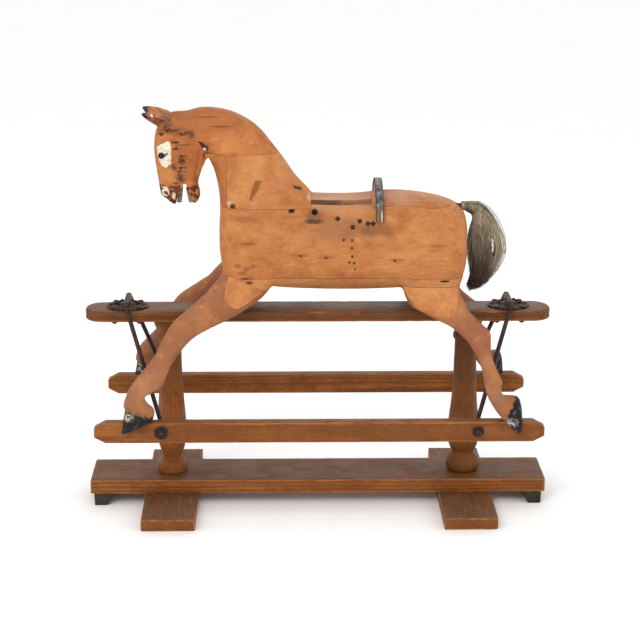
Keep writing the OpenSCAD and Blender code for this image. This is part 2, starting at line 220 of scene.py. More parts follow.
def prism(name, outline, y0, y1):
    """Outline in the XZ plane, as a solid from y0 to y1, all in millimetres."""
    n = len(outline)
    verts = [(x, y, z) for y in (y0, y1) for x, z in outline]
    faces = [(i, (i + 1) % n, n + (i + 1) % n, n + i) for i in range(n)]
    faces += [tuple(range(n))[::-1], tuple(range(n, 2 * n))]
    obj = mesh_object(name, verts, faces, smooth=False)
    fix_normals(obj)
    set_co(obj, co_of(obj) * MM)
    return obj


# ---------------------------------------------------------------------------
# Camera, floor and light
# ---------------------------------------------------------------------------


# Matched to the photograph: angles in degrees, place in metres, lens in millimetres
CAMERA_PITCH, CAMERA_YAW, CAMERA_ROLL = 16.471, 1.405, 0.229
CAMERA_PLACE = (-0.1081, -4.5943, 1.8721)
CAMERA_LENS = 97.5


def make_camera():
    pitch, yaw, roll = (math.radians(a) for a in (CAMERA_PITCH, CAMERA_YAW, CAMERA_ROLL))
    right = Vector((math.cos(yaw), -math.sin(yaw), 0))
    up = Vector((math.sin(pitch) * math.sin(yaw), math.sin(pitch) * math.cos(yaw), math.cos(pitch)))
    right, up = (
        math.cos(roll) * right + math.sin(roll) * up,
        math.cos(roll) * up - math.sin(roll) * right,
    )
    cam = bpy.data.cameras.new("camera")
    cam.lens = CAMERA_LENS
    cam.sensor_width = 36
    obj = link(bpy.data.objects.new("camera", cam))
    turn = Matrix((right, up, right.cross(up))).transposed().to_4x4()
    obj.matrix_world = Matrix.Translation(CAMERA_PLACE) @ turn
    bpy.context.scene.camera = obj


def make_floor():
    half = 40.0
    floor = mesh_object(
        "floor",
        [(-half, -half, 0), (half, -half, 0), (half, half, 0), (-half, half, 0)],
        [(0, 1, 2, 3)],
    )
    sh = Shader("floor")
    cloud = sh.noise(sh.place, 1.5, 3)
    sh.colour = sh.mix(cloud, (0.93, 0.93, 0.925, 1), (0.96, 0.96, 0.96, 1))
    floor.data.materials.append(sh.finish(sh.rise(cloud, 0.0, 1.0, 0.85, 0.95), specular=0.1))


def area_light(name, place, target, size, power, colour=(1, 1, 1)):
    light = bpy.data.lights.new(name, "AREA")
    light.shape = "DISK"
    light.size = size
    light.energy = power
    light.color = colour
    obj = link(bpy.data.objects.new(name, light))
    obj.location = place
    obj.rotation_euler = (Vector(target) - Vector(place)).to_track_quat("-Z", "Y").to_euler()


def make_lights():
    world = bpy.data.worlds.new("studio")
    world.use_nodes = True
    background = world.node_tree.nodes["Background"]
    background.inputs["Color"].default_value = (1, 1, 1, 1)
    background.inputs["Strength"].default_value = 1.03
    bpy.context.scene.world = world
    middle = (0, 0, 0.6)
    area_light("key", (-1.6, -3.6, 3.6), middle, 2.0, 70, (1, 0.98, 0.95))
    area_light("fill", (3.2, -2.6, 2.2), middle, 2.6, 14)
    area_light("back", (0.6, 3.4, 3.2), middle, 2.2, 22)


# ---------------------------------------------------------------------------
# The carved form
# ---------------------------------------------------------------------------

# Glue planes and outlines, in millimetres, as in the CAD model
BELLY_Z, HIP_Z, NECK_Z, JAW_Z = 660, 638, 847, 987
NECK_X, THROAT_X, HEAD_X, CHEST_X, CANTLE_X = -22, -248, -304, -290, 140
LEG_Y, SIDE_Y, SEAT_Y, TOP_Y, FORE_X, HIND_X = 58, 70, 48, 85, -124, 214
MUSCLE_Y = 96
# Half the gap of a glue line, the outer face of the hooves, the top of the hoof rails, and "beyond"
SEAM = 0.35
HOOF_Y, HOOF_RAIL_TOP = 222.5, 293
FAR = 1500

# x, underside, top, half width
BARREL = [
    (-269, 720, 800, 44), (-262, 680, 850, 78), (-240, 650, 873, 98), (-190, 630, 878, 110),
    (-110, 618, 875, 116), (0, 613, 867, 117), (100, 612, 867, 117), (180, 614, 875, 118),
    (250, 618, 873, 121), (320, 622, 861, 120), (365, 632, 846, 108), (392, 652, 826, 88),
    (404, 690, 795, 60),
]
# x, z, half depth, tilt of the section, half width
NECK = [
    (-140, 835, 130, 3, 96), (-143, 862, 125, 5, 88), (-167, 907, 106, 7, 76),
    (-187, 950, 95, 10, 66), (-209, 985, 86, 17, 59), (-231, 1014, 78, 31, 55),
    (-263, 1035, 68, 58, 52), (-296, 1042, 64, 84, 50), (-325, 1041, 64, 108, 49),
    (-352, 1037, 72, 127, 48), (-371, 1016, 72, 147, 48), (-376, 991, 68, 164, 48),
    (-376, 966, 65, 173, 46), (-376, 936, 60, 180, 40), (-378, 903, 53, 181, 34),
    (-373, 875, 53, 180, 33), (-367, 857, 43, 180, 30), (-364, 846, 31, 180, 24),
]
# x, z, half depth, tilt of the section, y, half thickness
FORE_LEG = [
    (-200, 720, 60, 5, -76, 34), (-188, 668, 76, 0, -82, 34), (-215, 628, 74, -10, -86, 34),
    (-251, 595, 61, -18, -96, 33), (-300, 566, 44, -38, -112, 30), (-338, 545, 37, -46, -124, 28),
    (-370, 522, 34, -42, -136, 27), (-399, 484, 29, -30, -150, 25), (-422, 446, 26, -27, -164, 24),
    (-456, 395, 34, -25, -182, 26), (-481, 375, 29, -13, -196, 27), (-496, 348, 29, 11, -208, 29),
    (-482, 326, 39, -6, -211, 31), (-485, 306, 42, 9, -212, 31), (-489, 281, 47, 25, -213, 30),
]
HIND_LEG = [
    (300, 720, 88, 0, -80, 34), (301, 668, 91, 0, -82, 36), (302, 628, 78, 0, -86, 36),
    (316, 594, 71, 10, -92, 35), (338, 578, 57, 16, -100, 33), (374, 553, 35, 33, -114, 29),
    (408, 525, 32, 28, -128, 26), (430, 504, 33, 25, -138, 25), (437, 481, 26, 20, -147, 23),
    (445, 455, 19, 15, -157, 22), (456, 424, 19, 12, -169, 22), (465, 395, 23, 8, -181, 24),
    (468, 370, 22, -5, -191, 24), (475, 351, 19, 27, -199, 25), (506, 333, 35, 47, -207, 28),
    (521, 311, 31, 50, -211, 29), (532, 285, 19, 51, -213, 28), (536, 264, 7, 40, -214, 24),
]
FORE_JOINT = [(-700, 0), (-700, 668), (-232, 668), (-151, 629), (FORE_X, 616), (FORE_X, 0)]
FORE_STRIP = [(-215, BELLY_Z), (-151, 629), (FORE_X + 0.6, 616), (FORE_X + 0.6, BELLY_Z)]
HIND_JOINT = [(HIND_X, 0), (HIND_X, HIP_Z), (700, HIP_Z), (700, 0)]
HIND_STRIP = [(HIND_X - 0.6, HIP_Z), (HIND_X - 0.6, BELLY_Z), (700, BELLY_Z), (700, HIP_Z)]
SHOULDER = [
    (-236, 700), (-246, 662), (-252, 645), (-256, 611), (-247, 597), (-236, 588), (-220, 580),
    (-192, 594), (-159, 617), (-147, 627), (-120, 700),
]
THIGH = [
    (216, 700), (219, 636), (237, 608), (262, 579), (286, 565), (331, 556), (355, 559),
    (368, 575), (374, 607), (372, 700),
]


def make_barrel():
    rings = []
    for x, low, high, half in smooth_rows(BARREL, 6):
        rings.append(ring((x, 0, (low + high) / 2), (0, 0, -1), (high - low) / 2, half, 2.8, 72))
    return skin("barrel", [r * MM for r in rings])


def make_neck():
    rings = []
    for x, z, a, tilt, b in smooth_rows(NECK, 6):
        rings.append(ring((x, 0, z), tilted(tilt), a, b, 2.3, 64))
    return skin("neck", [r * MM for r in rings])


def make_limb(rows, side):
    rings = []
    for x, z, a, tilt, y, b in smooth_rows(rows, 6):
        rings.append(ring((x, side * -y, z), tilted(tilt), a, b, 2.4, 40))
    return skin("limb", [r * MM for r in rings])


def throat_fill():
    """Wood that fills the hollow between jaw and neck up to a pointed notch."""
    outline = [
        (-316, 996), (-328, 930), (-320, 937), (-314, 949), (-307, 961), (-301, 971), (-297, 977),
        (-291, 973), (-284, 962), (-262, 996),
    ]
    return prism("bead", outline, -37, 37)


BODY_VOXEL, HEAD_VOXEL = 3.6, 2.1


def fuse(objs, name, voxel):
    whole = join(objs, name)
    return modify(whole, "REMESH", mode="VOXEL", voxel_size=voxel * MM, adaptivity=0.0)


def near_point(co, centre, radii):
    """Falls from 1 at the centre to 0 outside an ellipsoid."""
    d = (((co - np.array(centre) * MM) / (np.array(radii) * MM)) ** 2).sum(1)
    return np.clip(1 - d, 0, 1) ** 2


def swell(obj, centre, radii, height):
    """Raises or sinks the surface round a point on both sides of the horse."""
    co, no = co_of(obj), normals_of(obj)
    x, y, z = centre
    weight = np.maximum(near_point(co, (x, y, z), radii), near_point(co, (x, -y, z), radii))
    set_co(obj, co + no * (weight * height * MM)[:, None])


def carve_line(obj, points, width, depth):
    """Groove of a given width and depth along a line of (x, z) points, seen from the side."""
    co, no = co_of(obj), normals_of(obj)
    p = co[:, [0, 2]] / MM
    best = np.full(len(co), 1e9)
    for a, b in zip(points[:-1], points[1:]):
        a, b = np.array(a, float), np.array(b, float)
        t = np.clip(((p - a) @ (b - a)) / ((b - a) @ (b - a)), 0, 1)
        best = np.minimum(best, np.linalg.norm(p - (a + t[:, None] * (b - a)), axis=1))
    weight = np.exp(-((best / width) ** 2)) * np.clip(np.abs(no[:, 1]) * 1.6, 0, 1)
    set_co(obj, co - no * (weight * depth * MM)[:, None])


def box_mm(name, low, high):
    return fix_normals(block(name, [v * MM for v in low], [v * MM for v in high]))


def span(v, a, b):
    """Smooth rise from 0 at a to 1 at b, in millimetres."""
    t = np.clip((v - a) / (b - a), 0, 1)
    return t * t * (3 - 2 * t)


# centre and radii of each swelling or hollow, and its height
BODY_RELIEF = [
    ((-205, -112, 730), (70, 60, 95), 4), ((-150, -100, 800), (60, 60, 50), 3),
    ((315, -115, 735), (85, 60, 90), 4), ((40, -116, 700), (180, 40, 60), 2),
    ((408, 0, 745), (44, 120, 100), -7), ((-96, -112, 690), (34, 50, 110), -3),
    ((205, -118, 660), (50, 50, 70), -4), ((-258, 0, 760), (40, 26, 60), -4),
    ((-198, -60, 930), (70, 60, 34), 3), ((-262, -118, 600), (34, 40, 50), 3),
    ((-398, -165, 486), (26, 26, 26), 3), ((-384, -138, 512), (20, 30, 18), 2),
    ((-466, -205, 364), (14, 26, 12), -3), ((-447, -207, 330), (16, 26, 14), 3),
    ((440, -148, 500), (22, 26, 28), 3), ((404, -130, 540), (24, 24, 30), -2),
    ((492, -192, 395), (12, 30, 12), 4), ((482, -196, 376), (9, 30, 9), -3),
    ((494, -207, 350), (14, 30, 10), 2),
]


def make_body():
    parts = [make_barrel(), make_neck()]
    parts += [make_limb(rows, side) for rows in (FORE_LEG, HIND_LEG) for side in (-1, 1)]
    body = fuse(parts + [throat_fill()], "body", BODY_VOXEL)
    x, y, z = (co_of(body) / MM).T
    hip = span(z, 600, 640) * (1 - span(z, 690, 730)) * span(abs(y), 40, 70)
    hip *= 1 - span(x, -110, -60) * (1 - span(x, 150, 200))
    withers = span(z, 815, 840) * (1 - span(z, 870, 925)) * (1 - span(x, -120, -75))
    relax(body, np.clip(hip + withers, 0, 1), 40)
    relax(body, 0.5, 4)
    for centre, radii, height in BODY_RELIEF:
        swell(body, centre, radii, height)
    return body


# Near-side features of the head: (x, z)
EYE = (-418, 982)
NOSTRIL = (-413, 877)
CHEEK = (-346, 958)


def side_disc(obj, centre, radius, edge, height):
    """Raised or sunk round patch on both cheeks, with an edge of the given softness."""
    co, no = co_of(obj), normals_of(obj)
    d = np.hypot(co[:, 0] / MM - centre[0], co[:, 2] / MM - centre[1])
    weight = (1 - span(d, radius - edge, radius + edge)) * np.clip(np.abs(no[:, 1]) * 2 - 0.2, 0, 1)
    set_co(obj, co + no * (weight * height * MM)[:, None])


# centre and radii of each swelling or hollow, and its height
HEAD_RELIEF = [
    ((-352, -48, 905), (26, 30, 30), -4), ((-398, -40, 935), (22, 30, 42), -4),
    ((-404, -44, 1002), (26, 22, 12), 6), ((-380, -48, 1030), (30, 30, 24), -3),
    ((-366, -6, 1098), (52, 60, 22), -5.5), ((-340, -46, 1012), (30, 30, 26), -3),
]

# centre, radius, softness of the edge and height of each round patch
HEAD_DISCS = [
    (CHEEK, 42, 8, 5), (CHEEK, 22, 16, -2), (EYE, 17, 6, -3), (EYE, 12, 3, 3), (EYE, 6, 2, -3),
    (NOSTRIL, 13, 4, 4), (NOSTRIL, 6, 2, -8), ((-392, 858), 12, 6, 3), ((-340, 868), 12, 8, 3),
]
# points, width and depth of each groove: nose, lips and jaw
HEAD_LINES = [
    ([(-432, 952), (-426, 905)], 7, 2), ([(-398, 905), (-384, 893), (-372, 902)], 5, 3),
    ([(-356, 905), (-338, 884), (-332, 872)], 5, 3), ([(-300, 1000), (-306, 965), (-318, 935)], 6, 3),
]


def make_head():
    whole = make_neck()
    low_part = box_mm("low", (-900, -300, 700), (HEAD_X + 10, 300, 1300))
    top_part = box_mm("top", (-900, -300, JAW_Z - 10), (200, 300, 1300))
    front = boolean(copy_of(whole, "front"), low_part, "INTERSECT")
    crown = boolean(whole, top_part, "INTERSECT")
    remove(low_part, top_part)
    head = fuse([front, crown, throat_fill()], "head", HEAD_VOXEL)
    relax(head, 0.5, 5)
    for centre, radii, height in HEAD_RELIEF:
        swell(head, centre, radii, height)
    for centre, radius, edge, height in HEAD_DISCS:
        side_disc(head, centre, radius, edge, height)
    for points, width, depth in HEAD_LINES:
        carve_line(head, points, width, depth)
    mouth = prism("slot", [(-366, 900), (-361, 904), (-356, 900), (-327, 820), (-397, 820)], -200, 200)
    return carved(head, mouth)


def grown(outline, amount):
    """Outline with each edge moved outwards, for a polygon with no sharp corners."""
    middle = np.mean(outline, axis=0)
    out = [np.array(p) - middle for p in outline]
    return [tuple(middle + p * (1 + amount / np.linalg.norm(p))) for p in out]


def side_prism(outline, inner_y, amount=0.0):
    """Near-side solid with the given outline, from a plane outwards; amount grows it all round."""
    return prism("prism", grown(outline, amount), -FAR, -inner_y + amount)


def cut(source, name, keep, drop=()):
    """Block of the source between the keep corners, with other boxes or solids cut away."""
    obj = copy_of(source, name)
    if isinstance(keep, bpy.types.Object):
        boolean(obj, keep, "INTERSECT")
    else:
        tool = box_mm("tool", [v + SEAM for v in keep[0]], [v - SEAM for v in keep[1]])
        boolean(obj, tool, "INTERSECT")
        remove(tool)
    for item in drop:
        if isinstance(item, bpy.types.Object):
            boolean(obj, item, "DIFFERENCE")
            continue
        carved(obj, box_mm("tool", [v - SEAM for v in item[0]], [v + SEAM for v in item[1]]))
    return crisp(obj)


def crisp(obj, angle=38):
    obj.data.shade_smooth()
    obj.data.set_sharp_from_angle(angle=math.radians(angle))
    return obj


def mirrored(obj, name):
    new = copy_of(obj, name)
    new.data.transform(Matrix.Scale(-1, 4, (0, 1, 0)))
    new.data.flip_normals()
    return crisp(new)


def make_blocks():
    body = make_body()
    head = make_head()
    out = {}
    fore_tool = side_prism(FORE_JOINT, LEG_Y, SEAM)
    far_tool = mirrored(fore_tool, "far_tool")
    side = ((-FAR, -FAR, BELLY_Z), (FAR, -SIDE_Y, FAR))
    out["near_side_board"] = cut(body, "near_side", side, [
        ((-FAR, -FAR, NECK_Z), (NECK_X, FAR, FAR)),
        ((NECK_X, -SEAT_Y, NECK_Z), (CANTLE_X, FAR, FAR)),
        ((CANTLE_X, -TOP_Y, NECK_Z), (FAR, FAR, FAR)),
        fore_tool,
    ])
    seat = ((NECK_X, -SEAT_Y, NECK_Z), (CANTLE_X, SEAT_Y, FAR))
    out["seat_board"] = cut(body, "seat", seat)
    top = ((CANTLE_X, -TOP_Y, NECK_Z), (FAR, TOP_Y, FAR))
    out["top_board"] = cut(body, "top", top)
    chest = ((CHEST_X, -SIDE_Y, BELLY_Z), (-185, SIDE_Y, NECK_Z))
    out["chest_block"] = cut(body, "chest", chest, [fore_tool, far_tool])
    rump = ((325, -SIDE_Y, BELLY_Z), (FAR, SIDE_Y, NECK_Z))
    out["rump_block"] = cut(body, "rump", rump)
    neck = ((THROAT_X, -FAR, NECK_Z), (NECK_X, FAR, JAW_Z))
    out["neck_block"] = cut(body, "neck", neck)
    throat = ((HEAD_X, -FAR, NECK_Z), (THROAT_X, FAR, JAW_Z))
    out["throat_block"] = cut(body, "throat", throat)
    out["bottom_board"] = cut(body, "bottom", ((-FAR, -FAR, 0), (FAR, FAR, BELLY_Z)), [
        ((-FAR, -FAR, 0), (FORE_X, -LEG_Y, BELLY_Z)),
        ((-FAR, LEG_Y, 0), (FORE_X, FAR, BELLY_Z)),
        ((HIND_X, -FAR, 0), (FAR, -LEG_Y, BELLY_Z)),
        ((HIND_X, LEG_Y, 0), (FAR, FAR, BELLY_Z)),
    ])
    remove(fore_tool, far_tool)
    notch = ((-FAR, -HOOF_Y, 0), (FAR, FAR, HOOF_RAIL_TOP))
    for part, joint, strip, outline, muscle in (
        ("fore", FORE_JOINT, FORE_STRIP, SHOULDER, "near_shoulder_block"),
        ("hind", HIND_JOINT, HIND_STRIP, THIGH, "near_thigh_block"),
    ):
        zone = side_prism(joint, LEG_Y, -SEAM)
        pocket = side_prism(outline, MUSCLE_Y, SEAM)
        pad = side_prism(outline, MUSCLE_Y, -0.2)
        edge = side_prism(strip, LEG_Y, -SEAM)
        leg = "near_" + part + "_leg"
        out[leg] = cut(body, leg, zone, [notch, pocket])
        out[muscle] = crisp(boolean(cut(body, muscle, zone), pad, "INTERSECT"))
        name = "near_" + part + "_strip"
        out[name] = cut(body, name, edge)
        remove(zone, pocket, pad, edge)
    out["head_block"] = cut(head, "head_wood", ((-FAR, -FAR, 0), (FAR, FAR, FAR)), [
        ((HEAD_X, -FAR, 0), (FAR, FAR, JAW_Z)),
    ])
    for name in [n for n in out if n.startswith("near_")]:
        other = name.replace("near_", "far_")
        out[other] = mirrored(out[name], other)
    remove(head)
    return out, body


# ---------------------------------------------------------------------------
# Shader building
# ---------------------------------------------------------------------------


def rgb(red, green, blue):
    """Display colour, 0 to 255, as the linear colour that a shader takes."""
    out = []
    for value in (red, green, blue):
        v = value / 255
        out.append(v / 12.92 if v <= 0.04045 else ((v + 0.055) / 1.055) ** 2.4)
    return (*out, 1)


class Value:
    """Output of a shader node that takes part in sums and products."""

    def __init__(self, make, socket):
        self.make, self.socket = make, socket

    def __add__(self, other):
        return self.make("ADD", self, other)

    def __sub__(self, other):
        return self.make("SUBTRACT", self, other)

    def __rsub__(self, other):
        return self.make("SUBTRACT", other, self)

    def __mul__(self, other):
        return self.make("MULTIPLY", self, other)

    def __truediv__(self, other):
        return self.make("DIVIDE", self, other)

    def __abs__(self):
        return self.make("ABSOLUTE", self)


class Shader:
    """Wires a Principled material from procedural nodes; colour is what the stains build up."""

    def __init__(self, name, metallic=0.0):
        self.mat = bpy.data.materials.new(name)
        self.mat.use_nodes = True
        self.tree = self.mat.node_tree
        self.bsdf = self.tree.nodes["Principled BSDF"]
        self.bsdf.inputs["Metallic"].default_value = metallic
        self.place = Value(self.vector, self.node("ShaderNodeTexCoord").outputs["Object"])
        self.normal = Value(self.vector, self.node("ShaderNodeNewGeometry").outputs["Normal"])
        self.colour = None

    def node(self, kind, **settings):
        made = self.tree.nodes.new(kind)
        for key, value in settings.items():
            setattr(made, key, value)
        return made

    def feed(self, socket, value):
        if isinstance(value, Value):
            self.tree.links.new(value.socket, socket)
        else:
            socket.default_value = value

    def math(self, operation, a, b=0.0):
        made = self.node("ShaderNodeMath", operation=operation)
        self.feed(made.inputs[0], a)
        self.feed(made.inputs[1], b)
        return Value(self.math, made.outputs[0])

    def vector(self, operation, a, b=(0, 0, 0)):
        made = self.node("ShaderNodeVectorMath", operation=operation)
        self.feed(made.inputs[0], a)
        self.feed(made.inputs[1], b)
        if operation in ("LENGTH", "DOT_PRODUCT"):
            return Value(self.math, made.outputs["Value"])
        return Value(self.vector, made.outputs["Vector"])

    def noise(self, where, scale, detail=3.0, rough=0.55):
        made = self.node("ShaderNodeTexNoise")
        self.feed(made.inputs["Vector"], where)
        made.inputs["Scale"].default_value = scale
        made.inputs["Detail"].default_value = detail
        made.inputs["Roughness"].default_value = rough
        return Value(self.math, made.outputs[0])

    def rise(self, value, low, high, bottom=0.0, top=1.0):
        made = self.node("ShaderNodeMapRange", interpolation_type="SMOOTHSTEP")
        self.feed(made.inputs[0], value)
        for i, number in enumerate((low, high, bottom, top)):
            made.inputs[i + 1].default_value = number
        return Value(self.math, made.outputs[0])

    def fall(self, value, low, high):
        return self.rise(value, low, high, 1.0, 0.0)

    def mix(self, factor, a, b):
        made = self.node("ShaderNodeMix", data_type="RGBA")
        for index, value in ((0, factor), (6, a), (7, b)):
            if isinstance(value, tuple) and len(value) == 3:
                value = rgb(*value)
            self.feed(made.inputs[index], value)
        return Value(self.math, made.outputs[2])

    def stain(self, mask, paint):
        """Covers the colour so far with a paint, as far as the mask says."""
        self.colour = self.mix(mask, self.colour, paint)

    def blot(self, strength, paint, *shape, **more):
        """Stains one blob."""
        self.stain(self.blob(*shape, **more) * strength, paint)

    def split(self, vector):
        made = self.node("ShaderNodeSeparateXYZ")
        self.feed(made.inputs[0], vector)
        return [Value(self.math, out) for out in made.outputs]

    def axis(self, index):
        return self.split(self.place)[index]

    def blob(self, centre, radii, soft=0.4, ragged=0.0, scale=60.0, both=False):
        """1 inside an ellipsoid given in millimetres, falling to 0 round its edge."""
        where = self.place
        if both:
            where = abs(where)
            centre = tuple(abs(v) for v in centre)
        away = where - tuple(v * MM for v in centre)
        away = away / tuple(v * MM for v in radii)
        distance = self.vector("LENGTH", away)
        if ragged:
            wobble = self.noise(self.place, scale, 4)
            distance = distance + (wobble - 0.5) * ragged
        return self.fall(distance, 1 - soft / 2, 1 + soft / 2)

    def patch(self, outline, soft=2.0, ragged=6.0, scale=120.0):
        """1 inside a convex outline of (x, z) points, clockwise as seen from the near side."""
        x, _, z = self.split(self.place)
        wobble = self.noise(self.place, scale, 4, 0.6) - 0.5
        inside = None
        for (ax, az), (bx, bz) in zip(outline, outline[1:] + outline[:1]):
            length = math.hypot(bx - ax, bz - az)
            nx, nz = (bz - az) / length, (ax - bx) / length
            depth = x * nx + z * nz
            depth = depth - (ax * nx + az * nz) * MM
            inside = depth if inside is None else self.math("MINIMUM", inside, depth)
        inside = inside + wobble * (ragged * MM)
        return self.rise(inside, -soft / 2 * MM, soft / 2 * MM)

    def any_of(self, masks):
        out = masks[0]
        for mask in masks[1:]:
            out = self.math("MAXIMUM", out, mask)
        return out

    def finish(self, rough, height=None, depth=0.001, specular=0.5):
        self.feed(self.bsdf.inputs["Base Color"], self.colour)
        self.feed(self.bsdf.inputs["Roughness"], rough)
        self.bsdf.inputs["Specular IOR Level"].default_value = specular
        if height is not None:
            bump = self.node("ShaderNodeBump")
            bump.inputs["Strength"].default_value = 1.0
            bump.inputs["Distance"].default_value = depth
            self.feed(bump.inputs["Height"], height)
            self.tree.links.new(bump.outputs[0], self.bsdf.inputs["Normal"])
        return self.mat


def grain(sh, along, pith, spacing, seed, wander=0.012):
    """Annual rings round a pith line, and fine fibres along it."""
    axis = Vector(along).normalized()
    place = sh.place - tuple(v * MM for v in pith)
    run = sh.vector("DOT_PRODUCT", place, tuple(axis))
    scaled = sh.node("ShaderNodeVectorMath", operation="SCALE")
    sh.feed(scaled.inputs[0], tuple(axis))
    sh.feed(scaled.inputs["Scale"], run * 0.9)
    across = place - Value(sh.vector, scaled.outputs[0])
    stretched = across + (seed, seed * 0.7, -seed)
    radius = sh.vector("LENGTH", sh.vector("CROSS_PRODUCT", place, tuple(axis)))
    drift = (sh.noise(stretched, 9, 2) - 0.5) * (wander * 2)
    radius = radius + drift
    ripple = (sh.noise(stretched, 70, 2) - 0.5) * 0.0025
    radius = radius + ripple
    phase = sh.math("FRACT", radius / (spacing * MM))
    late = sh.rise(phase, 0.25, 0.86) * sh.fall(phase, 0.88, 1.0)
    fibre = sh.noise(stretched, 420, 2, 0.6)
    return late, fibre, stretched


def seam_mask(sh, seams, width=1.1):
    """Dark line by glue planes: (axis index, millimetres, absolute value or not)."""
    lines = []
    for index, value, mirror in seams:
        v = sh.axis(index)
        if mirror:
            v = abs(v)
        gap = abs(v - value * MM)
        lines.append(sh.fall(gap, 0.25 * MM, width * MM))
    return sh.any_of(lines)


# ---------------------------------------------------------------------------
# Materials
# ---------------------------------------------------------------------------

PINE_PALE = (186, 121, 68)
PINE_DARK = (150, 83, 39)
LEG_PALE = (148, 95, 64)
LEG_DARK = (126, 72, 46)
DIRT = (70, 42, 26)
BLACK = (18, 13, 10)


def pine(name, along, pith, spacing, seed, pale=PINE_PALE, dark=PINE_DARK, seams=(), marks=None,
         dirt=0.6, figure=0.26):
    """Bare, aged softwood of the horse: rings, fibres, blotches, specks and dark glue lines."""
    sh = Shader(name)
    late, fibre, stretched = grain(sh, along, pith, spacing, seed)
    patchy = sh.rise(sh.noise(stretched, 8, 2), 0.3, 0.7, 0.35, 1.0)
    sh.colour = sh.mix(late * patchy * figure, pale, dark)
    sh.stain(sh.rise(fibre, 0.3, 0.75, 0.0, 0.22), (134, 70, 33))
    blotch = sh.noise(sh.place + (seed, seed, seed), 13, 6, 0.66)
    sh.stain(sh.rise(blotch, 0.4, 0.7, 0.0, dirt), (150, 80, 38))
    glow = sh.noise(sh.place + (-seed, 2, seed), 7, 4, 0.6)
    sh.stain(sh.rise(glow, 0.46, 0.7, 0.0, 0.5), (202, 138, 82))
    mottle = sh.noise(sh.place * (0.6, 1, 1) + (seed, 3, 1), 42, 5, 0.68)
    sh.stain(sh.rise(mottle, 0.5, 0.72, 0.0, 0.42), (138, 74, 36))
    sh.stain(sh.rise(mottle, 0.46, 0.28, 0.0, 0.38), (214, 152, 98))
    red = sh.noise(stretched + (seed, 1, 2), 22, 4, 0.6)
    sh.stain(sh.rise(red, 0.55, 0.75, 0.0, 0.4), (158, 78, 42))
    speck = sh.noise(sh.place, 210, 2, 0.5)
    sh.stain(sh.rise(speck, 0.68, 0.78, 0.0, 0.6), DIRT)
    streak = sh.noise(stretched, 60, 3, 0.6)
    sh.stain(sh.rise(streak, 0.58, 0.8, 0.0, 0.4), (128, 64, 31))
    height = fibre * 0.35 + late * 0.25
    if marks:
        marks(sh)
    if seams:
        line = seam_mask(sh, seams)
        fade = sh.rise(sh.noise(sh.place, 14, 3), 0.4, 0.62, 0.2, 1.0)
        sh.stain(line * fade * 0.8, (70, 36, 18))
    rough = sh.rise(blotch, 0.3, 0.8, 0.55, 0.72)
    return sh.finish(rough, height, 0.0007, specular=0.22)


def spots(sh, places, radius, paint, ragged):
    """Small marks at (x, y, z) points in millimetres."""
    masks = [sh.blob(p, (radius, radius * 1.6, radius), 0.6, ragged, 300) for p in places]
    sh.stain(sh.any_of(masks) * 0.9, paint)


def flank_marks(side):
    """Stains, holes, knots and scars of a side board; side is -1 for the near one."""

    def marks(sh):
        y = side * 117
        sh.blot(0.5, (132, 92, 62), (66, y, 800), (84, 60, 30), 1.2, 0.9, 24)  # dust
        tan = sh.patch([(-20, 872), (142, 872), (142, 838), (-20, 842)], 4, 8, 60)
        sh.stain(tan * 0.55, (176, 130, 94))
        strip = sh.patch([(50, 872), (142, 872), (142, 854), (50, 858)], 5, 8, 60)
        sh.stain(strip * 0.7, (112, 97, 88))
        sh.blot(0.6, (84, 60, 44), (-14, y, 832), (22, 60, 17), 1.0, 0.9, 60)  # halo
        sh.blot(0.8, (58, 42, 32), (-17, y, 817), (25, 60, 6), 0.8, 1.1, 90)  # drip
        # Painted shade: black for the dark inside of the hole, also on the far side where no hole is cut
        sh.blot(1.0, BLACK, (-13, y, 840), (9.5, 60, 8.5), 0.3, 0.2, 90)  # hole
        sh.blot(0.5, (104, 54, 26), (150, y, 795), (40, 60, 14), 1.1, 1.0, 40)  # rub
        sh.blot(0.45, (136, 62, 30), (-206, y, 822), (60, 60, 9), 1.2, 0.9, 30)  # rust
        # Painted shade: black spot for the dark inside of a small hole
        sh.blot(1.0, BLACK, (-74, y * 0.86, 844), (9, 60, 6), 0.7, 1.3, 130)  # pinhole
        knots = [(-50, y, 726), (17, y, 721), (201, y, 712)]
        spots(sh, knots, 4.2, (64, 28, 12), 1.0)
        tracks = [(-48, y, 727), (20, y, 722), (-190, y, 758), (314, y, 754), (206, y, 714)]
        masks = [sh.blob(p, (22, 60, 4), 1.0, 0.9, 70) for p in tracks]
        sh.stain(sh.any_of(masks) * 0.5, (120, 56, 26))
        nails = [(87, 769), (64, 769), (86, 747), (87, 724), (80, 708), (92, 706), (95, 689)]
        spots(sh, [(x, y, z) for x, z in nails], 3.6, BLACK, 1.4)
        scars = [(-217, y, 697), (-196, y, 690), (-178, y, 697), (-205, y, 678), (-186, y, 664)]
        masks = [sh.blob(p, (10, 60, 6), 1.0, 1.4, 90) for p in scars]
        sh.stain(sh.any_of(masks) * 0.6, (124, 58, 30))
        sh.blot(0.9, (62, 30, 16), (-200, y, 663), (10, 60, 4), 0.8, 1.3, 130)  # scrape
        # Dark butt joint of the thin upper plank behind the saddle, and a darker band low on the board
        sh.blot(0.6, (88, 56, 40), (307, y * 0.8, 862), (9, 70, 8), 0.8, 1.0, 80)  # joint
        edge = sh.fall(sh.axis(2), 0.668, 0.69)
        sh.stain(edge * 0.22, (150, 76, 38))

    return marks


def seat_marks(sh):
    grey = sh.noise(sh.place, 16, 4, 0.6)
    grey = sh.rise(grey, 0.4, 0.7, 0.1, 0.6) * sh.fall(sh.axis(0), 0.22, 0.3)
    sh.stain(grey, (174, 134, 106))


def hip_marks(sh):
    """Open crack in the edge of the bottom board, painted black as the shade inside it."""
    sh.blot(1.0, BLACK, (336, -118, 655), (14, 40, 2.6), 0.4, 0.5, 70)  # crack


